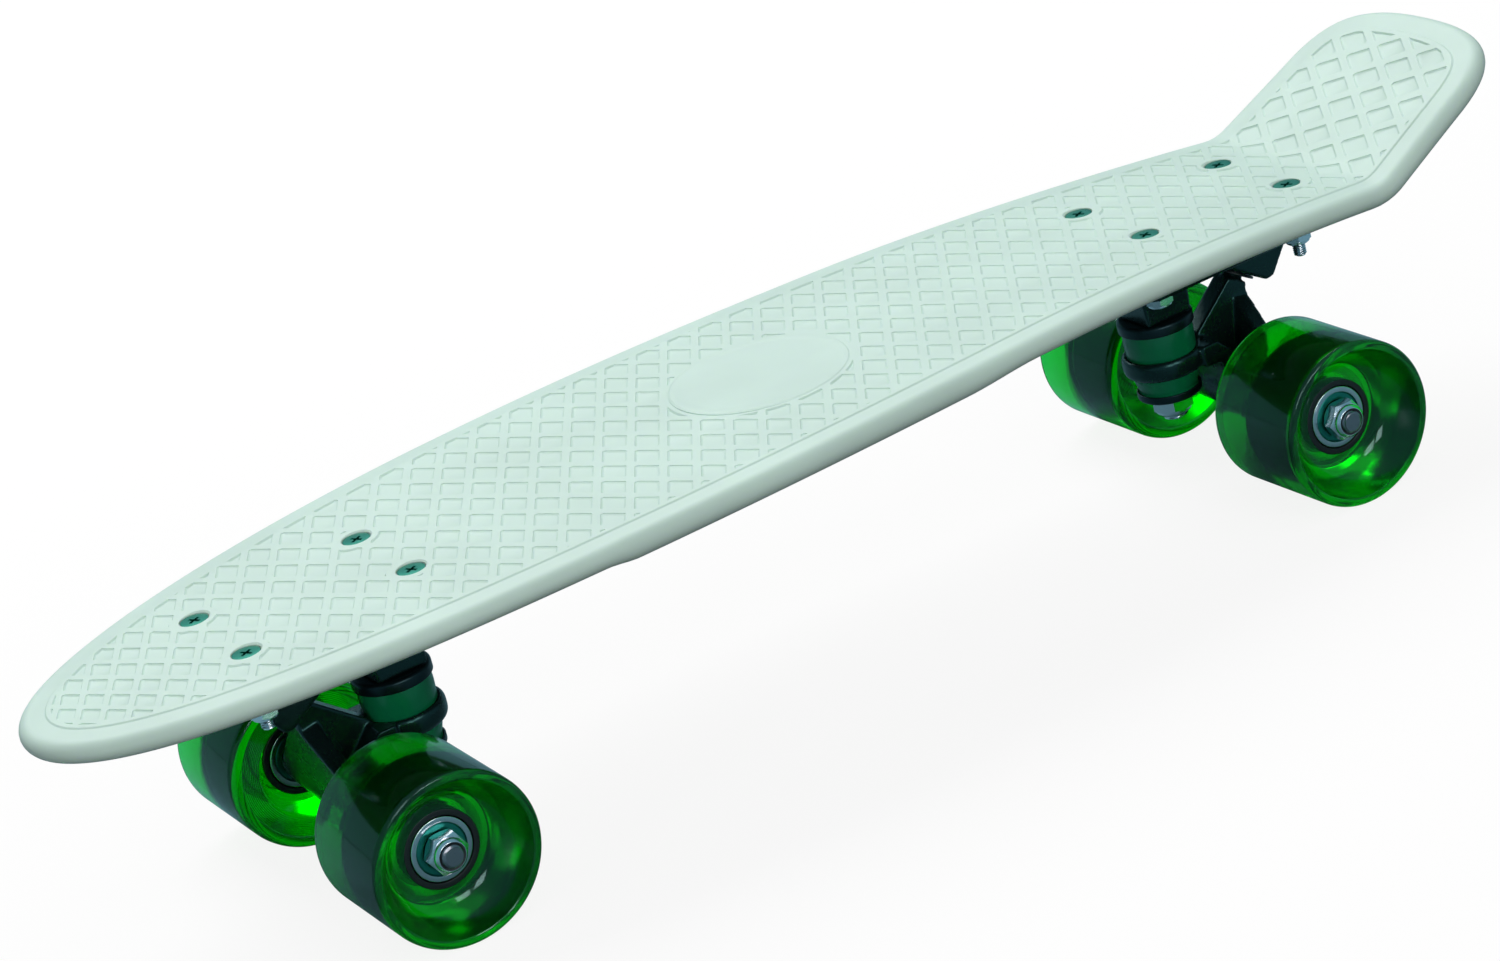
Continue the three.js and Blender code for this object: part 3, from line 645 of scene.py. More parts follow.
def bolt_steel():
    # Steel with dyed green zinc plate: the colour stays in its reflections, so it runs from a
    # bright teal to nearly black.
    values = {"Base Color": "#147a66", "Metallic": 0.9, "Roughness": 0.3}
    return finish("steel_green_zinc_plate", values, (0.8, 2, 0.24, 0.36), (0.7, 2, 0.02, 0.4))


def nylon_dark():
    # Nylon locking insert, turned: dull and nearly black.
    values = {"Base Color": "#23282b", "Roughness": 0.5, "IOR": 1.53}
    return finish("nylon_dark_turned", values, (1.5, 2, 0.44, 0.56))


def core_plastic():
    # Glass-filled nylon, moulded: black, with a faint flow pattern in its gloss.
    values = {"Base Color": "#0c0d0f", "Roughness": 0.42, "IOR": 1.53}
    return finish("nylon_black_moulded", values, (2.5, 2, 0.36, 0.5), (0.6, 2, 0.02, 0.4))


def clear_urethane(name, values, color, density):
    # Cast polyurethane: tinted right through and a little milky, polished by its mould.
    values |= {"IOR": 1.5, "Specular Tint": "#dafcff"}
    material = finish(name, values, relief=(14, 1, 0.04, 0.25))
    tree = material.node_tree
    absorb = add_node(tree, "ShaderNodeVolumeAbsorption", {"Color": color, "Density": density})
    feed(tree, tree.nodes["Material Output"], {"Volume": absorb})
    return material


def seen_rays(tree, share):
    """How brightly a ray sees the backdrop: 1 for the camera and through clear pieces, a share in
    reflections, as in a room that is darker behind the camera, and 0 for the light it gives."""
    kinds = add_node(tree, "ShaderNodeLightPath").outputs
    steps = [("MULTIPLY", "Is Glossy Ray"), ("MAXIMUM", "Is Camera Ray")]
    sight = share
    for operation, kind in [*steps, ("MAXIMUM", "Is Transmission Ray")]:
        sight = add_node(tree, "ShaderNodeMath", {0: kinds[kind], 1: sight}, operation=operation)
    return sight


def seen_color(tree, color):
    """The backdrop's colour, which is cooler in reflections."""
    glossy = add_node(tree, "ShaderNodeLightPath").outputs["Is Glossy Ray"]
    inputs = {0: glossy, 6: color, 7: ROOM_TINT}
    return add_node(tree, "ShaderNodeMix", inputs, data_type="RGBA").outputs[2]


# Pieces


def bolted_plate(margin, corner, low, high):
    """A plate round the four deck bolts of a truck, in the truck's own frame."""
    half_x, half_y = (pitch / 2 + margin for pitch in HOLE_PITCH)
    corners = [(sx * half_x, sy * half_y, corner) for sx, sy in SQUARE]
    return shifted(prism(rounded(corners), low, high), HOLE_SHIFT)


def dress(made, name, body, materials, sharp=MOULDED_SHARP, node=None):
    """Finishes a form: metres, name, smooth shading with sharp edges, materials and body. It stands
    for the node given, which may be empty, or else for the one in its name before the last word."""
    made.data.transform(Matrix.Scale(MM, 4))
    made.name = made.data.name = name
    made.data.polygons.foreach_set("use_smooth", [True] * len(made.data.polygons))
    made.data.set_sharp_from_angle(angle=math.radians(sharp))
    made.data.materials.clear()
    for material in materials:
        made.data.materials.append(material)
    if body:
        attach(made, body)
    if node != "":
        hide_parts(node or name.rsplit("_", 1)[0])


def truck_place(truck):
    """From a truck's own frame, x inboard and z from the axle, to the board's."""
    x, turn = TRUCKS[truck]
    return Matrix.Translation((x, 0, AXLE_HEIGHT)) @ Matrix.Rotation(turn, 4, "Z")


def side_name(place):
    return "right" if place.y > 0 else "left"


def each_wheel():
    """The truck, the side's name and the place of each wheel, whose form points to +Y."""
    for truck in TRUCKS:
        for turn in (0, math.pi):
            place = truck_place(truck) @ Matrix.Rotation(turn, 4, "Z")
            yield truck, side_name(place @ Vector((0, 1, 0))), place


def bolt_places():
    """The truck, name and place of each deck bolt."""
    for truck in TRUCKS:
        for end, step in (("inner", 1), ("outer", -1)):
            for side in (1, -1):
                x, y = HOLE_SHIFT + step * HOLE_PITCH[0] / 2, side * HOLE_PITCH[1] / 2
                place = truck_place(truck) @ Vector((x, y, 0))
                yield truck, f"{end}_{side_name(place)}", place


def bezier(controls):
    """Points of the curve with two, three or four control points."""
    t, last = np.linspace(0, 1, CURVE_STEPS + 1)[:, None], len(controls) - 1
    return sum(
        math.comb(last, k) * (1 - t) ** (last - k) * t**k * np.array(point, float)
        for k, point in enumerate(controls)
    )


class Track:
    """A plane path through curves, read by the length along it."""

    def __init__(self, curves):
        self.points = np.vstack([curves[0]] + [c[1:] for c in curves[1:]])
        steps = np.linalg.norm(np.diff(self.points, axis=0), axis=1)
        self.lengths = np.concatenate([[0], np.cumsum(steps)])
        self.length = self.lengths[-1]
        slopes = np.gradient(self.points, self.lengths, axis=0)
        self.slopes = slopes / np.linalg.norm(slopes, axis=1)[:, None]

    def read(self, table, along):
        return np.stack([np.interp(along, self.lengths, table[:, k]) for k in (0, 1)], -1)

    def at(self, along):
        return self.read(self.points, along)

    def slope(self, along):
        found = self.read(self.slopes, along)
        return found / np.linalg.norm(found, axis=-1)[..., None]


def deck_arch():
    """The deck's line seen from the side: nose, flat middle, heel, its corner and the kick."""
    a, b, c, d, e = (share * ARCH_LENGTH for share in ARCH_SHARES)
    last = np.array([e, -HEEL_HANDLE_SHARE * HEEL_DROP])
    heel = np.array([ARCH_LENGTH, -HEEL_DROP])
    fall = (heel - last) / np.linalg.norm(heel - last)
    rise = np.array([math.cos(KICK_ANGLE), math.sin(KICK_ANGLE)])
    corner = heel + fall * HEEL_RUN
    kick = corner + rise * HEEL_RUN
    nose = [(0, -NOSE_DROP), (a, -NOSE_DROP * (1 - NOSE_HANDLE_SHARE)), (b, 0), (c, 0)]
    lines = (nose, [(c, 0), (d, 0), last, heel], [heel, corner, kick])
    return Track([bezier(line) for line in (*lines, [kick, kick + rise * KICK_LENGTH])])


def deck_outline():
    """Half of the deck's outline, seen from above and unrolled, from nose to tail."""
    scale = np.array((ARCH.length, DECK_WIDTH / 2))
    return Track([bezier(np.array(shares) * scale) for shares in OUTLINE_SHARES])


ARCH = deck_arch()
OUTLINE = deck_outline()
ARCH_X = FRONT_AXLE - NOSE_TO_AXLE
MIDDLE_X = FRONT_AXLE + WHEELBASE / 2


def on_deck(along, across_y, up):
    """Points of the deck: along its surface, across it, and up from it."""
    along = np.clip(along, 0, ARCH.length)
    place, slope = ARCH.at(along), ARCH.slope(along)
    x = place[..., 0] - slope[..., 1] * up + ARCH_X
    z = place[..., 1] + slope[..., 0] * up + CREST
    return np.stack([x, np.broadcast_to(across_y, x.shape), z], -1)


def along_at(x):
    """How far along the deck's surface a place on the plan lies."""
    return np.interp(x, ARCH.points[:, 0] + ARCH_X, ARCH.lengths)


def surface_z(x):
    return float(on_deck(along_at(np.array(x)), 0, 0)[2])


def border(inset):
    """The deck's outline, unrolled, moved in by an inset: nose, +Y side, tail, -Y side."""
    even = np.linspace(0, 1, OUTLINE_STEPS + 1)
    shares = even - CROWDING_SHARE * np.sin(2 * math.pi * even) / (2 * math.pi)
    place, slope = OUTLINE.at(shares * OUTLINE.length), OUTLINE.slope(shares * OUTLINE.length)
    slope[0], slope[-1] = (0, 1), (0, -1)
    x, y = place[:, 0] + slope[:, 1] * inset, place[:, 1] - slope[:, 0] * inset
    y[0] = y[-1] = 0
    return np.concatenate([x, x[-2:0:-1]]), np.concatenate([y, -y[-2:0:-1]])


def smoothstep(x, low, high):
    t = np.clip((x - low) / (high - low), 0, 1)
    return t * t * (3 - 2 * t)


def rim_depth(along):
    a, b, c, d = (share * ARCH.length for share in BELLY_SHARES)
    return RIM_DEPTH + BELLY_EXTRA * (smoothstep(along, a, b) - smoothstep(along, c, d))


def deck_form(section):
    """A solid from the (inset, up) pairs of the deck's section, capped across at both ends."""
    loops = []
    for inset, up in section:
        along, y = border(inset)
        loops.append(on_deck(along, y, up))
    count = len(loops[0])
    faces = walls(len(loops), count)
    last = (len(loops) - 1) * count
    for k in range(count // 2):
        strip = list(dict.fromkeys((k, k + 1, (count - k - 1) % count, (count - k) % count)))
        if len(strip) > 2:
            faces += [strip[::-1], [last + i for i in strip]]
    return form(np.concatenate(loops), faces)


def deck_shell():
    """The deck's plate with its raised field, flat border, rounded rim and hollow underside."""
    x, _ = border(0)
    depth = rim_depth(x)
    section = []
    for k in range(BORDER_STEPS + 1):
        share = k / BORDER_STEPS
        drop = BORDER_DROP * (1 - math.cos(math.pi * share)) / 2
        section.append((BORDER_WIDTH + BORDER_SLOPE * (1 - share), np.full_like(x, -drop)))
    for k in range(RIM_STEPS + 1):
        angle = math.pi * k / RIM_STEPS
        fall = (depth - BORDER_DROP) * (1 - math.cos(angle)) / 2
        section.append((RIM_ROUND * (1 - math.sin(angle)), -BORDER_DROP - fall))
    section += [(RIM_FLAT, -depth), (RIM_FLAT + RIM_DRAFT, np.full_like(x, -PLATE))]
    return deck_form(section)


def pocket_field():
    """The space over the deck that the pockets may take, inside the border."""
    inset = BORDER_WIDTH + BORDER_SLOPE + POCKET_BORDER
    return deck_form([(inset - up, up) for up in (OVERRUN, -OVERRUN)])


def clear_cone(radius, place, sides):
    """A cone that cuts the pockets off at a radius, with a sloped wall."""
    z, reach = surface_z(place.x), CLEAR_REACH
    profile = [(0, z - reach), (radius + reach, z - reach), (radius - reach, z + reach)]
    return shifted(turned(profile + [(0, z + reach)], sides), place.x, place.y)


def closed_up(plan):
    """Draws places of the waffle together towards the nose, where the mould has smaller pockets."""
    length, most = CLOSING
    reach = np.maximum(CLOSING_FROM - plan[:, 0], 0)
    share = most * (reach / length) ** 2
    return np.stack([plan[:, 0] + reach * share / 3, plan[:, 1] * (1 - share)], -1)


def pocket(x, y, pitch, rib, depth):
    """Points of one pocket between four ribs: rings of flared walls with soft corners."""
    between = pitch * math.sin(RIB_SLANT)
    floor, wall = POCKET_FLARES
    rings = []
    for up, shrink in ((-depth, floor), (-depth / 2, wall), (0.0, 0.0), (OVERRUN, -OVERRUN)):
        scale = (between - rib - 2 * shrink) / between
        half_x, half_y = pitch / 2 * scale, pitch / 2 * math.tan(RIB_SLANT) * scale
        corners = ((half_x, 0), (0, half_y), (-half_x, 0), (0, -half_y))
        ring = rounded([(*corner, POCKET_CORNER) for corner in corners], 3)
        plan = closed_up(np.array([tuple(p) for p in ring]) + (x, y))
        rings.append(on_deck(along_at(plan[:, 0]), plan[:, 1], up))
    return rings


def waffle(pitch, rib, depth):
    """All the pockets, clipped by the border, the plaque and the flats round the bolts."""
    row = pitch / 2 * math.tan(RIB_SLANT)
    points, faces, start = [], [], 0
    for j in range(-int(DECK_WIDTH / 2 / row), int(DECK_WIDTH / 2 / row) + 1):
        phase = RIB_CROSSING + pitch / 2 * ((j + 1) % 2)
        first = math.ceil((ARCH_X - phase) / pitch) - 1
        last = math.floor((-ARCH_X - phase) / pitch)
        for i in range(first, last + 1):
            rings = pocket(phase + i * pitch, j * row, pitch, rib, depth)
            count = len(rings[0])
            faces += [[start + k for k in face] for face in column(len(rings), count)]
            points += rings
            start += len(rings) * count
    cutter = boolean(form(np.concatenate(points), faces), [pocket_field()], "INTERSECT")
    flats = heap([clear_cone(HOLE_RING, place, 48) for _, _, place in bolt_places()])
    disc = clear_cone(PLAQUE_RING, Vector((MIDDLE_X, 0)), 128)
    return without_slivers(cut(cutter, flats, disc), SLIVER)


def plaque():
    """The round plaque: a fine raised lip round a smooth face."""
    radius, rise, lip, dish = PLAQUE
    top, foot = surface_z(MIDDLE_X) + rise, radius + PLAQUE_FOOT
    profile = [(0, top - OVERRUN), (foot, top - OVERRUN), (foot, top - rise), (radius, top, EDGE)]
    profile += [(radius - lip, top, EDGE), (radius - 2 * lip, top - dish)]
    profile += [(radius - 3 * lip, top - dish), (0, top - dish)]
    return shifted(turned(rounded(profile), 160), MIDDLE_X)


def deck_pad(truck):
    """The flat pad under the deck that a baseplate is bolted to."""
    length, width = (pitch + 2 * PAD_MARGIN for pitch in HOLE_PITCH)
    pad = bolted_plate(PAD_MARGIN, PAD_CORNER, PAD_FOOT, CREST)
    middle = (truck_place(truck) @ Vector((HOLE_SHIFT, 0, 0))).x
    xs = [middle + length * (k / 5) for k in range(-3, 4)]
    side = [(xs[0], 0)] + [(x, surface_z(x) - PAD_BURY) for x in xs] + [(xs[-1], 0)]
    return boolean(moved(pad, truck_place(truck)), [side_prism(side, 2 * width)], "INTERSECT")


def bolt_hole(place):
    """The cutting form of a countersunk hole."""
    top = surface_z(place.x) - BOLT_SINK
    head, shank, neck = BOLT_HEAD[0] / 2 + FIT, BOLT / 2 + FIT, top - BOLT_HEAD[1]
    high, edge = top + BOLT_SINK, top + BOLT_SINK - HOLE_CHAMFER
    profile = [(0, neck - HOLE_REACH), (shank, neck - HOLE_REACH), (shank, neck)]
    profile += [(head, top - HOLE_WALL), (head, edge), (head + OVERRUN, edge + OVERRUN)]
    return shifted(turned(profile + [(0, high + OVERRUN)], 48), place.x, place.y)


def under_rib(y):
    length, width, depth = UNDER_RIB
    foot, top = width / 2, depth + UNDER_BURY
    outline = [(-foot, 0, UNDER_CORNER), (foot, 0, UNDER_CORNER)]
    outline += [(foot + UNDER_DRAFT, top), (-foot - UNDER_DRAFT, top)]
    rib = moved(prism(rounded(outline), -length / 2, length / 2), STAND)
    return shifted(rib, MIDDLE_X, y, CREST - PLATE - depth)


# Settings

COLOR = {"subtype": "COLOR", "size": 4, "min": 0.0, "max": 1.0}
LENGTH = {"unit": "LENGTH", "subtype": "DISTANCE"}
POWER = {"unit": "POWER", "min": 0.0}


class DeckSettings(bpy.types.PropertyGroup):
    color: bpy.props.FloatVectorProperty(
        name="Deck colour",
        description="Colour of the moulded plastic",
        default=linear("#cbe4da"),
        **COLOR,
    )
    pitch: bpy.props.FloatProperty(
        name="Waffle pitch",
        description="Distance between rib crossings along the board",
        default=12.93 * MM,
        min=4 * MM,
        **LENGTH,
    )
    rib: bpy.props.FloatProperty(
        name="Rib width",
        description="Width of a rib between two pockets",
        default=2.7 * MM,
        min=0.5 * MM,
        **LENGTH,
    )
    depth: bpy.props.FloatProperty(
        name="Pocket depth",
        description="Depth of the pockets between the ribs",
        default=0.6 * MM,
        min=0.3 * MM,
        **LENGTH,
    )


class TruckSettings(bpy.types.PropertyGroup):
    paint: bpy.props.FloatVectorProperty(
        name="Enamel colour",
        description="Colour of the cast parts of the trucks",
        default=linear("#0c1a1a"),
        **COLOR,
    )
    grain: bpy.props.FloatProperty(
        name="Casting grain",
        description="Size of the net that rounds the edges of the castings",
        default=0.6 * MM,
        min=0.3 * MM,
        **LENGTH,
    )
    bushing: bpy.props.FloatVectorProperty(
        name="Bushing colour",
        description="Colour that light keeps on its way through a bushing",
        default=linear("#30ddae"),
        **COLOR,
    )


class WheelSettings(bpy.types.PropertyGroup):
    color: bpy.props.FloatVectorProperty(
        name="Wheel colour",
        description="Colour that light keeps on its way through a wheel",
        default=linear("#30f66f"),
        **COLOR,
    )
    density: bpy.props.FloatProperty(
        name="Tint strength",
        description="How fast the urethane takes the other colours out of the light, per metre",
        default=260.0,
        min=0.0,
    )
    grooves: bpy.props.IntProperty(
        name="Turned grooves",
        description="Fine rings turned into the inner face of a wheel",
        default=11,
        min=0,
        max=20,
    )


class StageSettings(bpy.types.PropertyGroup):
    backdrop: bpy.props.FloatVectorProperty(
        name="Backdrop colour",
        description="Colour of the floor and of the surroundings",
        default=linear("#ffffff"),
        **COLOR,
    )
    key: bpy.props.FloatProperty(
        name="Key light",
        description="Power of the large softbox behind and above the board",
        default=73.0,
        **POWER,
    )
    softboxes: bpy.props.FloatProperty(
        name="Softboxes",
        description="Power of the two small softboxes that show as highlights",
        default=5.0,
        **POWER,
    )
    side: bpy.props.FloatProperty(
        name="Side softbox",
        description="Power of the softbox off the nose, which lights the rim there",
        default=6.0,
        **POWER,
    )
    fill: bpy.props.FloatProperty(
        name="Fill light",
        description="Strength of the broad light above the camera, which no surface mirrors",
        default=0.6,
        min=0.0,
    )
    ambient: bpy.props.FloatProperty(
        name="Ambient light",
        description="Strength of the light that comes from all round",
        default=0.15,
        min=0.0,
    )


# Operators


class BuildDeck(bpy.types.Operator):
    """Builds the moulded deck with its waffle, border, plaque, pads and ribs"""

    bl_idname = "cruiser_board.build_deck"
    bl_label = "Build deck"

    def execute(self, context):
        settings = context.scene.cruiser_deck
        pads = [deck_pad(truck) for truck in TRUCKS]
        ribs = [under_rib(y) for y in UNDER_RIBS]
        deck = joined(deck_shell(), plaque(), *pads, heap(ribs))
        holes = heap([bolt_hole(place) for _, _, place in bolt_places()])
        sizes = [value / MM for value in (settings.pitch, settings.rib, settings.depth)]
        deck = cut(deck, waffle(*sizes), holes)
        material = deck_plastic(list(settings.color))
        dress(deck, "deck_moulding", "board", [material], DECK_SHARP)
        return {"FINISHED"}


class BuildDeckBolts(bpy.types.Operator):
    """Builds the countersunk bolts of the deck and their lock nuts"""

    bl_idname = "cruiser_board.build_deck_bolts"
    bl_label = "Build deck bolts"

    def bolt(self, top, thread_top):
        head, shank = BOLT_HEAD[0] / 2, BOLT / 2
        profile = [(0, thread_top), (shank, thread_top), (shank, top - BOLT_HEAD[1])]
        profile += [(head, top - HEAD_WALL, 0.2), (head, top, 0.2), (0, top)]
        length, width, depth, slope = CROSS_RECESS
        half, high, floor = length / 2, top + OVERRUN, top - depth
        bar = [(-half, high), (-half, top), (slope - half, floor), (half - slope, floor)]
        bar += [(half, top), (half, high)]
        turns = [Matrix.Rotation(turn + CROSS_TURN, 4, "Z") for turn in (0, math.pi / 2)]
        cross = [moved(side_prism(bar, width), turn) for turn in turns]
        body, foot = cut(turned(rounded(profile), 48), *cross), top - BOLT_LENGTH
        return heap([body, threaded(BOLT, foot, thread_top + 2 * LAP, BOLT_THREAD[1], 32)])

    def execute(self, context):
        green, silver = bolt_steel(), bright_steel()
        nut_top = AXLE_HEIGHT + FLANGE_FOOT - FIT
        for truck, name, place in bolt_places():
            top = surface_z(place.x) - BOLT_SINK
            thread_top = top - BOLT_LENGTH + BOLT_THREAD[0]
            bolt = shifted(self.bolt(top, thread_top), place.x, place.y)
            start = f"{truck}_{name}"
            metals, node = [green, silver], f"{start}_bolt"
            dress(bolt, f"{start}_deck_bolt", "board", metals, METAL_SHARP, node)
            for face in bolt.data.polygons:
                face.material_index = int(face.center.z < thread_top * MM)
            nut = shifted(lock_nut(DECK_NUT, nut_top, BOLT / 2), place.x, place.y)
            dress(nut, f"{start}_deck_nut", "board", [silver], METAL_SHARP, f"{start}_lock_nut")
        return {"FINISHED"}


def on_nose(made):
    """Sets a form that stands on Z onto the axis of the pivot nose."""
    direction = Vector((-math.cos(NOSE_ANGLE), 0, math.sin(NOSE_ANGLE)))
    turn = Vector((0, 0, 1)).rotation_difference(direction).to_matrix().to_4x4()
    return moved(made, Matrix.Translation(NECK_FOOT + direction * NECK_LENGTH) @ turn)


def dome(radius, reach, steps=14):
    """Profile of a ball from its top down to an angle of reach."""
    turns = [reach * k / steps for k in range(steps + 1)]
    return [(radius * math.sin(turn), radius * math.cos(turn)) for turn in turns]


def cup_sizes(gap=0.0):
    """The pivot cup's inner, outer and lip radius, its lip's height, its mouth and its end."""
    wall, depth, lip, floor = CUP
    inner = NOSE_RADIUS + FIT
    outer = inner + wall + gap
    return inner, outer, outer + lip, lip - depth, -depth, inner + floor + gap


class BuildBaseplates(bpy.types.Operator):
    """Builds the cast baseplates and the pivot cups in them"""

    bl_idname = "cruiser_board.build_baseplates"
    bl_label = "Build baseplates"

    def plate(self, grain):
        flange = bolted_plate(FLANGE_MARGIN, FLANGE_CORNER, FLANGE_FOOT, PAD_FOOT - FIT)
        root = FLANGE_FOOT + FLANGE / 2
        half, boss_width, slope = BOSS[0] / 2, BOSS[1], BOSS[2]
        boss = [(-half - slope, root), (-half, BOSS_FOOT), (half, BOSS_FOOT), (half + slope, root)]
        points = [(x, FLANGE_FOOT - z) for x, z in HOUSING_POINTS]
        housing = side_prism([(points[0][0], root), *points, (points[-1][0], root)], HOUSING_WIDTH)
        boss = shifted(side_prism(boss, boss_width), KINGPIN_X)
        plate = joined(flange, boss, housing)
        _, outer, lip, step, mouth, end = cup_sizes(FIT)
        seat = [(0, end), (outer, end), (outer, step), (lip, step), (lip, mouth - OVERRUN)]
        seat = on_nose(turned(seat + [(0, mouth - OVERRUN)]))
        bore = shifted(rod(KINGPIN_BORE, BOSS_FOOT - OVERRUN, root), KINGPIN_X)
        holes = []
        for sx, sy in SQUARE:
            x, y = HOLE_SHIFT + sx * HOLE_PITCH[0] / 2, sy * HOLE_PITCH[1] / 2
            holes.append(shifted(rod(BOLT / 2 + FIT, 0, 2 * PAD_FOOT, 32), x, y))
        return cast(cut(plate, seat, bore, heap(holes)), grain, 3)

    def cup(self):
        inner, outer, lip, step, mouth, end = cup_sizes()
        profile = [(inner, -1), (inner + FIT, mouth), (lip, mouth, EDGE), (lip, step, EDGE)]
        profile += [(outer, step), (outer, end, 0.8), (0, end)]
        return on_nose(turned(dome(inner, math.pi / 2) + rounded(profile), 64))

    def execute(self, context):
        settings = context.scene.cruiser_truck
        paint, plastic = truck_paint(list(settings.paint)), core_plastic()
        plate, cup = self.plate(settings.grain / MM), self.cup()
        for truck in TRUCKS:
            place = truck_place(truck)
            name = f"{truck}_baseplate_casting"
            dress(placed(plate, place), name, "board", [paint], CAST_SHARP)
            dress(placed(cup, place), f"{truck}_pivot_cup_moulding", "board", [plastic])
        discard(plate, cup)
        return {"FINISHED"}


def cup_washer(diameter, face, reach):
    """A pressed washer whose wall reaches from its flat face over a bushing."""
    outer, inner, end = diameter / 2, diameter / 2 - WASHER_WALL, face + reach
    back = face + math.copysign(WASHER_PLATE, reach)
    profile = [(KINGPIN_BORE, face), (outer, face, 1.3), (outer, end, EDGE)]
    profile += [(inner, end, EDGE), (inner, back, 0.6), (KINGPIN_BORE, back)]
    return turned(rounded(profile), 96)


class BuildKingpins(bpy.types.Operator):
    """Builds the kingpins, their nuts and the cup washers"""

    bl_idname = "cruiser_board.build_kingpins"
    bl_label = "Build kingpins"

    def kingpin(self, nut_top):
        reach, pitch = KINGPIN_THREAD
        end, head = nut_top - KINGPIN_NUT[1] - KINGPIN_TAIL, PAD_FOOT - KINGPIN_HEAD
        thread = threaded(KINGPIN, end, nut_top + reach, pitch)
        shank = rod(KINGPIN / 2, nut_top + reach - LAP, head - 2 * LAP)
        return heap([thread, shank, prism(hexagon(KINGPIN_NUT[0]), head, PAD_FOOT - 2 * FIT)])

    def execute(self, context):
        silver, black = bright_steel(), washer_steel()
        nut_top = LOWER_WASHER[1] - FIT
        nut = lock_nut(KINGPIN_NUT, nut_top, KINGPIN / 2)
        forms = {
            "kingpin_nut": (nut, silver, "steel"),
            "upper_washer": (cup_washer(*UPPER_WASHER), black, "pressing"),
            "lower_washer": (cup_washer(*LOWER_WASHER), black, "pressing"),
            "kingpin": (self.kingpin(nut_top), silver, "bolt"),
        }
        for truck in TRUCKS:
            place = truck_place(truck) @ Matrix.Translation((KINGPIN_X, 0, 0))
            for part, (made, material, word) in forms.items():
                name = f"{truck}_{part}_{word}"
                dress(placed(made, place), name, "board", [material], METAL_SHARP)
        discard(*(made for made, _, _ in forms.values()))
        return {"FINISHED"}


class BuildBushings(bpy.types.Operator):
    """Builds the two cast bushings of each truck"""

    bl_idname = "cruiser_board.build_bushings"
    bl_label = "Build bushings"

    def profiles(self):
        """Each bushing's profile, and its heights on the board's side and the hanger's."""
        bore, (end, middle, bulge) = KINGPIN_BORE, UPPER_BUSHING
        top = UPPER_WASHER[1] - WASHER_PLATE - FIT
        foot = RING_TOP - RING_SEAT + FIT
        upper = [(bore, foot), (end, foot, 0.8), (middle, (top + foot) / 2, bulge)]
        yield "upper", upper + [(end, top, 0.8), (bore, top)], (top, foot)
        (narrow, start), (wide, stop) = LOWER_BUSHING
        foot, top = LOWER_WASHER[1] + WASHER_PLATE + FIT, RING_FOOT + RING_SEAT - FIT
        lower = [(bore, foot), (narrow, foot, 0.6), (narrow, start, 0.5), (wide, stop, 1.0)]
        yield "lower", lower + [(wide, top, 0.5), (bore, top)], (foot, top)

    def execute(self, context):
        color = list(context.scene.cruiser_truck.bushing)
        values = {"Base Color": "#0b9a66", "Transmission Weight": 0.55, "Roughness": 0.28}
        rubber = clear_urethane("polyurethane_dark_green_cast", values, color, 300.0)
        for truck in TRUCKS:
            place = truck_place(truck)
            for part, profile, ends in self.profiles():
                made = moved(shifted(turned(rounded(profile), 96), KINGPIN_X), place)
                dress(made, f"{truck}_{part}_bushing_casting", None, [rubber], RUBBER_SHARP)
                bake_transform(made)
        return {"FINISHED"}


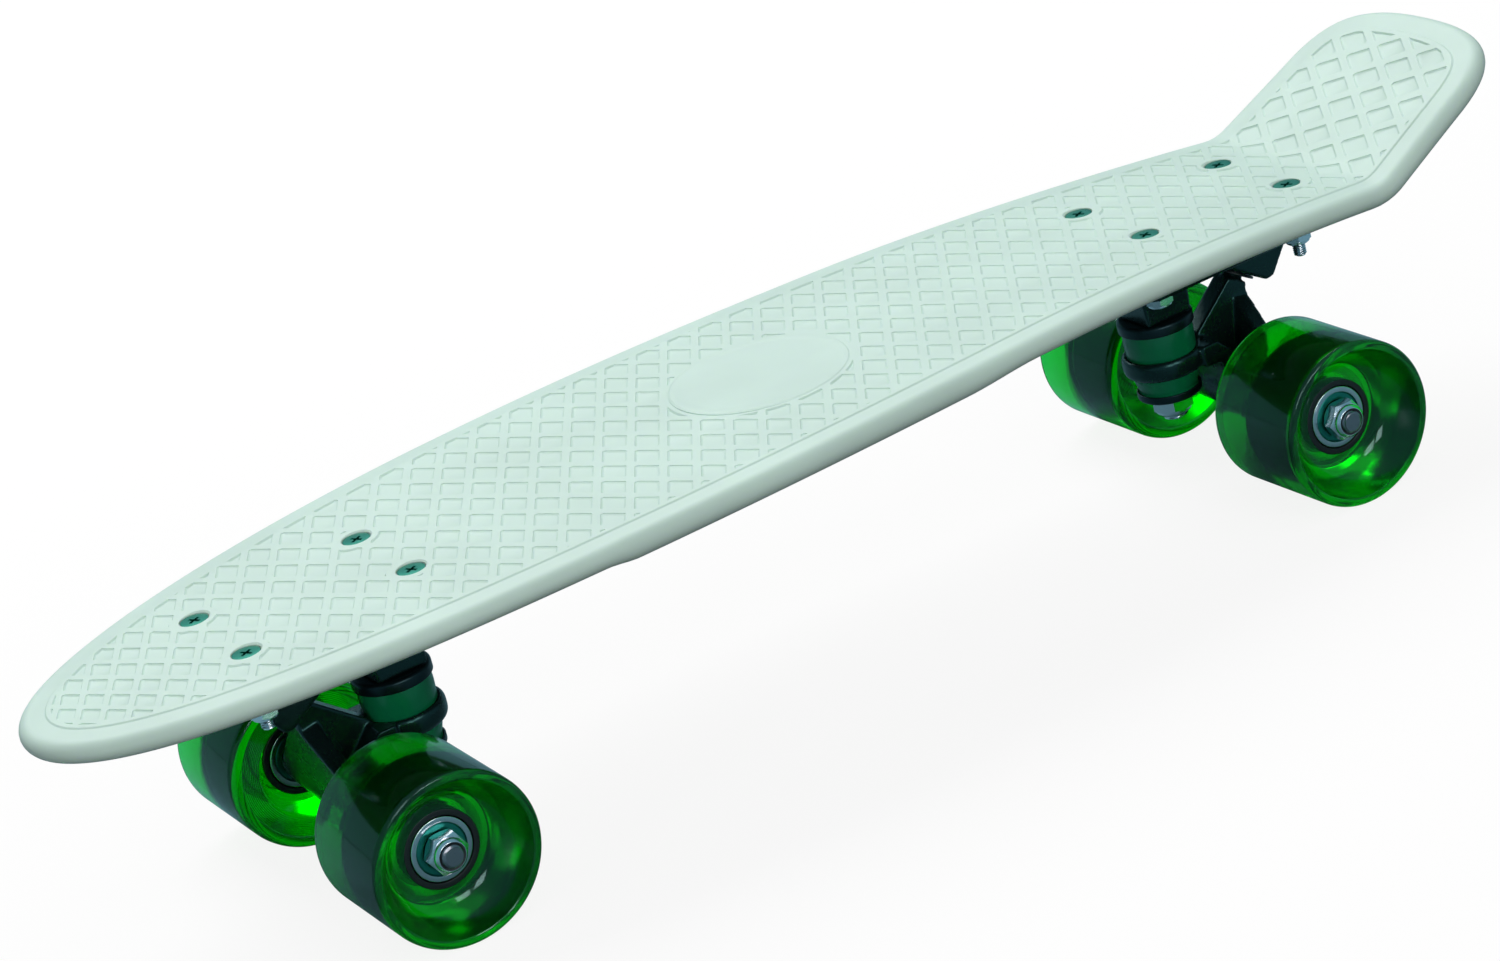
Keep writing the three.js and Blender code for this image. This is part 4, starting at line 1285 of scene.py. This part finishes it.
class BuildHangers(bpy.types.Operator):
    """Builds the cast hangers, their axles and the axle nuts"""

    bl_idname = "cruiser_board.build_hangers"
    bl_label = "Build hangers"

    def housing(self):
        boss, shoulder, beside, middle = HANGER_RADII
        end = HANGER_HALF + HANGER_BOSS
        half = [(boss, end), (boss, HANGER_HALF), (shoulder, HANGER_HALF)]
        half.append((beside, HANGER_HALF - SHOULDER_LENGTH))
        low = [(radius, -y) for radius, y in half]
        return across(turned([(0, -end), *low, (middle, 0), *half[::-1], (0, end)], 64))

    def web(self):
        web = moved(prism(list(WEB_POINTS), 0, WEB_THICKNESS), STAND)
        lean = Matrix.Rotation(-WEB_LEAN, 4, "Y")
        return moved(web, Matrix.Translation((WEB_OUTBOARD, 0, 0)) @ lean)

    def spine(self):
        direction = Vector((math.sin(NOSE_ANGLE), 0, math.cos(NOSE_ANGLE)))
        outer, inner = (NECK_FOOT + direction * NECK_RADIUS * s for s in (-1, 1))
        outline = [(WEB_OUTBOARD, 0), (0, 0), (RING_X, RING_FOOT), (RING_X + RING_SEAT, RING_TOP)]
        return side_prism(outline + [(inner.x, inner.z), (outer.x, outer.z)], SPINE_THICKNESS)

    def yoke(self):
        inboard, top = KINGPIN_X - RING_BORE / 2, RING_TOP - RING_SEAT / 2
        outline = [*YOKE_FOOT, (RING_X, RING_FOOT), (inboard, RING_FOOT), (inboard, top)]
        return side_prism(outline + [(RING_X, top), YOKE_BACK], 2 * YOKE_HALF)

    def nose(self):
        reach = math.pi - math.asin(NECK_RADIUS / NOSE_RADIUS)
        foot = -NECK_LENGTH - NECK_RADIUS
        profile = dome(NOSE_RADIUS, reach) + [(NECK_RADIUS, foot), (0, foot)]
        return on_nose(turned(profile, 48))

    def ring(self):
        radius, edge = RING / 2, RING_ROUND_SHARE * RING_HEIGHT
        profile = [(0, RING_FOOT), (radius, RING_FOOT, edge), (radius, RING_TOP, edge)]
        return shifted(turned(rounded(profile + [(0, RING_TOP)]), 96), KINGPIN_X)

    def bores(self):
        (lower, upper), bore = SEAT_RADII, RING_BORE / 2
        foot, low, high = YOKE_FOOT[0][1], RING_FOOT + RING_SEAT, RING_TOP - RING_SEAT
        profile = [(0, foot), (lower, foot), (lower, low), (bore, low), (bore, high)]
        profile += [(upper, high), (upper, BOSS_FOOT), (0, BOSS_FOOT)]
        return shifted(turned(profile, 96), KINGPIN_X)

    def hanger(self, grain):
        arms = (self.web(), self.spine(), self.yoke(), self.ring(), self.nose())
        half = AXLE_LENGTH / 2
        bore = across(rod(AXLE / 2 + FIT, -half, half, 48))
        return cast(cut(joined(self.housing(), *arms), self.bores(), bore), grain, 4)

    def axle(self):
        plain = BEARING_END - BEARING_LAP
        end = threaded(AXLE, plain, AXLE_LENGTH / 2, AXLE_PITCH)
        other = placed(end, Matrix.Rotation(math.pi, 4, "X"))
        return across(heap([rod(AXLE / 2, -plain, plain, 48), end, other]))

    def nut(self):
        """The hexagon nut, with the steel collar round its insert at the outer end."""
        width, height, collar = AXLE_NUT
        radius, (gap, end, outer) = AXLE / 2, COLLAR_RADII
        low = BEARING_END + FIT
        top = low + height
        foot, (rise, rounding) = top - COLLAR_SINK, COLLAR_ROUND
        profile = [(radius + gap, foot), (outer, foot), (outer, top + rise, rounding)]
        profile += [(end, top + collar, 0.4), (radius + gap, top + collar)]
        nut = hex_nut(width, low, top, radius + AXLE_PLAY, 0.9)
        return across(heap([nut, turned(rounded(profile))]))

    def insert(self):
        reach, bore_sink, rim_sink, play = INSERT
        radius, outer = AXLE / 2 + play, AXLE / 2 + COLLAR_RADII[0]
        top = BEARING_END + FIT + AXLE_NUT[1] + AXLE_NUT[2]
        profile = [(radius, top - reach), (outer, top - reach), (outer, top - rim_sink)]
        return across(turned(profile + [(radius, top - bore_sink)]))

    def execute(self, context):
        settings = context.scene.cruiser_truck
        paint, silver, dark = truck_paint(list(settings.paint)), bright_steel(), nylon_dark()
        plain = axle_steel()
        hanger, axle = self.hanger(settings.grain / MM), self.axle()
        nut, insert = self.nut(), self.insert()
        for truck in TRUCKS:
            body, place = f"{truck}_hanger", truck_place(truck)
            dress(placed(hanger, place), f"{body}_casting", body, [paint], CAST_SHARP)
            dress(placed(axle, place), f"{truck}_axle_rod", body, [plain], METAL_SHARP)
        for truck, side, place in each_wheel():
            name, body = f"{truck}_{side}_axle_nut", f"{truck}_hanger"
            dress(placed(nut, place), f"{name}_steel", body, [silver], METAL_SHARP)
            dress(placed(insert, place), f"{name}_insert", body, [dark], node="")
        discard(hanger, axle, nut, insert)
        return {"FINISHED"}


class BuildWheels(bpy.types.Operator):
    """Builds the clear cast tyres and the black cores inside them"""

    bl_idname = "cruiser_board.build_wheels"
    bl_label = "Build wheels"

    def tyre(self, grooves):
        radius, bore = WHEEL / 2, CORE / 2 - CORE_GRIP
        lip, fall = radius - TREAD_EDGE - LIP, DISH - LIP_DROP
        dish = []
        for k in range(DISH_STEPS + 1):
            share = k / DISH_STEPS
            sunk = LIP_DROP + fall * (1 - (1 - share) ** DISH_POWER)
            dish.append((lip + (bore - lip) * share, WHEEL_OUTER - sunk))
        (shoulder, rise, sink), (step, depth, run) = INNER_SHOULDER, INNER_STEP
        profile = [(bore, INNER_BEARING + sink), (shoulder, INNER_BEARING - rise, 1.0)]
        profile += [(step - run, WHEEL_INNER + depth, 0.8)]
        pitch = (radius - INNER_EDGE - GROOVE_MARGIN - step) / max(grooves, 1)
        for k in range(grooves):
            start = step + pitch * k
            profile += [(start, WHEEL_INNER + GROOVE_DEPTH), (start + pitch / 2, WHEEL_INNER)]
        profile += [(radius, WHEEL_INNER, INNER_EDGE), (radius, WHEEL_OUTER, TREAD_EDGE)]
        profile += [(lip + LIP_ROUND[0], WHEEL_OUTER, LIP_ROUND[1]), *dish]
        return across(turned(rounded(profile), 160))

    def core(self):
        radius, seat = CORE / 2, BEARING[0] + FIT
        low, high = INNER_BEARING + BEARING[1] + FIT, OUTER_BEARING - FIT
        profile = [(radius, INNER_BEARING, 0.4), (radius, BEARING_END, 0.4)]
        profile += [(seat, BEARING_END, EDGE), (seat, high), (CORE_BORE, high)]
        profile += [(CORE_BORE, low), (seat, low), (seat, INNER_BEARING, EDGE)]
        return across(turned(rounded(profile), 96))

    def execute(self, context):
        settings = context.scene.cruiser_wheel
        name, color = "polyurethane_clear_green_cast", list(settings.color)
        values = {"Base Color": "#2ce65a", "Transmission Weight": 0.98, "Roughness": 0.1}
        urethane = clear_urethane(name, values, color, settings.density)
        plastic = core_plastic()
        tyre, core = self.tyre(settings.grooves), self.core()
        for truck, side, place in each_wheel():
            name, body = f"{truck}_{side}_tyre_casting", f"{truck}_{side}_wheel"
            dress(placed(tyre, place), name, body, [urethane], WHEEL_SHARP)
            dress(placed(core, place), f"{truck}_{side}_core_moulding", body, [plastic])
        discard(tyre, core)
        return {"FINISHED"}


class BuildBearings(bpy.types.Operator):
    """Builds the ball bearings with their rings and shields"""

    bl_idname = "cruiser_board.build_bearings"
    bl_label = "Build bearings"

    def rings(self):
        (radius, width, bore), (race, wall) = BEARING, BEARING_RACES
        outer = [(wall, 0, 0.2), (radius, 0, 0.45), (radius, width, 0.45), (wall, width, 0.2)]
        inner = [(bore, 0, EDGE), (race, 0, 0.2), (race, width, 0.2), (bore, width, EDGE)]
        return across(heap([turned(rounded(outer), 96), turned(rounded(inner), 96)]))

    def shields(self):
        bore, inner, outer, seat = SHIELD
        forms = []
        for face, way in ((SHIELD_SINK, 1), (BEARING[1] - SHIELD_SINK, -1)):
            rolled, edge, back = (face + way * depth for depth in SHIELD_DEPTHS)
            profile = [(bore, rolled), (inner, face, EDGE), (outer, face, EDGE), (seat, edge)]
            forms.append(turned(rounded(profile + [(seat, back), (bore, back)]), 96))
        return across(heap(forms))

    def execute(self, context):
        steel, lacquer = ground_steel(), shield_steel()
        rings, shields = self.rings(), self.shields()
        for truck, side, wheel in each_wheel():
            for part, start in (("inner", INNER_BEARING), ("outer", OUTER_BEARING)):
                name, body = f"{truck}_{side}_{part}_bearing", f"{truck}_{side}_wheel"
                place = wheel @ Matrix.Translation((0, start, 0))
                dress(placed(rings, place), f"{name}_rings", body, [steel], METAL_SHARP)
                made = placed(shields, place)
                dress(made, f"{name}_shields", body, [lacquer], WHEEL_SHARP, node="")
        discard(rings, shields)
        return {"FINISHED"}


class BuildStage(bpy.types.Operator):
    """Builds the floor, the lamps, the surroundings and the camera"""

    bl_idname = "cruiser_board.build_stage"
    bl_label = "Build stage"

    def floor_paper(self, color):
        # White background paper: matt, and bright enough to the eye to lose its edge.
        material = bpy.data.materials.new("studio_floor_paper")
        material.use_nodes = True
        tree = material.node_tree
        tree.nodes.remove(tree.nodes["Principled BSDF"])
        sight = seen_rays(tree, FLOOR_REFLECTED)
        dull = [c * BOUNCE_SHARE for c in color[:3]] + [1.0]
        inputs = {0: sight, 6: dull, 7: seen_color(tree, color)}
        paper = add_node(tree, "ShaderNodeMix", inputs, data_type="RGBA").outputs[2]
        diffuse = add_node(tree, "ShaderNodeBsdfDiffuse", {"Color": paper})
        glow = add_node(tree, "ShaderNodeEmission", {"Color": color, "Strength": sight})
        camera_ray = add_node(tree, "ShaderNodeLightPath").outputs["Is Camera Ray"]
        inputs = {0: camera_ray, 1: GLOW_SHARE}
        share = add_node(tree, "ShaderNodeMath", inputs, operation="MULTIPLY")
        mix = add_node(tree, "ShaderNodeMixShader", {"Fac": share, 1: diffuse, 2: glow})
        feed(tree, tree.nodes["Material Output"], {"Surface": mix})
        return material

    def floor(self, color):
        mesh = bpy.data.meshes.new("studio_floor")
        corners = [(sx * FLOOR_HALF, sy * FLOOR_HALF, 0) for sx, sy in SQUARE]
        mesh.from_pydata(corners, [], [(0, 1, 2, 3)])
        mesh.materials.append(self.floor_paper(color))
        new_object("studio_floor", mesh)

    def world(self, scene, color, ambient):
        scene.world = bpy.data.worlds.new("studio_surroundings")
        scene.world.use_nodes = True
        tree = scene.world.node_tree
        inputs = {0: seen_rays(tree, ROOM_REFLECTED), 1: ambient}
        strength = add_node(tree, "ShaderNodeMath", inputs, operation="MAXIMUM")
        backdrop = {"Color": seen_color(tree, color), "Strength": strength}
        feed(tree, tree.nodes["Background"], backdrop)

    def lamp(self, name, kind, place, target, **values):
        data = bpy.data.lights.new(name, kind)
        for key, value in values.items():
            setattr(data, key, value)
        made = new_object(name, data)
        made.location = place
        aim = Vector(target) - Vector(place)
        made.rotation_euler = aim.to_track_quat("-Z", "Y").to_euler()
        return made

    def softbox(self, name, power):
        place, (size, size_y) = SOFTBOXES[name]
        values = {"shape": "RECTANGLE", "size": size, "size_y": size_y, "energy": power}
        return self.lamp(f"{name}_softbox", "AREA", place, SOFTBOX_AIM, **values)

    def camera(self, scene):
        a, e = CAMERA_AZIMUTH, CAMERA_ELEVATION
        right = Vector((math.cos(a), math.sin(a), 0))
        back = Vector((math.sin(a) * math.cos(e), -math.cos(a) * math.cos(e), math.sin(e)))
        level = Matrix((right, back.cross(right), back)).transposed()
        turn = (level @ Matrix.Rotation(CAMERA_ROLL, 3, "Z")).to_4x4()
        data = bpy.data.cameras.new("photo_camera")
        data.lens, data.sensor_width = CAMERA_LENS, CAMERA_SENSOR
        scene.camera = new_object("photo_camera", data)
        scene.camera.matrix_world = Matrix.Translation(CAMERA_AT) @ turn

    def execute(self, context):
        settings = context.scene.cruiser_stage
        color = list(settings.backdrop)
        self.floor(color)
        self.world(context.scene, color, settings.ambient)
        self.softbox("key", settings.key)
        self.softbox("side", settings.side).visible_glossy = False
        values = {"energy": settings.fill, "angle": FILL_SPREAD}
        fill = self.lamp("fill_light", "SUN", FILL_FROM, (0, 0, 0), **values)
        fill.visible_glossy = False
        self.softbox("left", settings.softboxes)
        self.softbox("right", settings.softboxes)
        self.camera(context.scene)
        context.scene.view_settings.view_transform = "Standard"
        return {"FINISHED"}


SETTINGS = {
    DeckSettings: "cruiser_deck",
    TruckSettings: "cruiser_truck",
    WheelSettings: "cruiser_wheel",
    StageSettings: "cruiser_stage",
}
STEPS = (
    BuildDeck,
    BuildDeckBolts,
    BuildBaseplates,
    BuildKingpins,
    BuildBushings,
    BuildHangers,
    BuildWheels,
    BuildBearings,
    BuildStage,
)


class CruiserBoardPanel(bpy.types.Panel):
    """Lists the steps that build the board"""

    bl_idname = "VIEW3D_PT_cruiser_board"
    bl_label = "Cruiser Board"
    bl_space_type = "VIEW_3D"
    bl_region_type = "UI"
    bl_category = "Cruiser Board"

    def draw(self, context):
        for settings, group in SETTINGS.items():
            for name in settings.__annotations__:
                self.layout.prop(getattr(context.scene, group), name)
        for step in STEPS:
            self.layout.operator(step.bl_idname)


def register():
    for cls in (*SETTINGS, *STEPS, CruiserBoardPanel):
        bpy.utils.register_class(cls)
    for cls, name in SETTINGS.items():
        setattr(bpy.types.Scene, name, bpy.props.PointerProperty(type=cls))


def unregister():
    for name in SETTINGS.values():
        delattr(bpy.types.Scene, name)
    for cls in reversed((*SETTINGS, *STEPS, CruiserBoardPanel)):
        bpy.utils.unregister_class(cls)


def main():
    register()
    for step in STEPS:
        group, name = step.bl_idname.split(".")
        getattr(getattr(bpy.ops, group), name)()


if __name__ == "__main__":
    main()
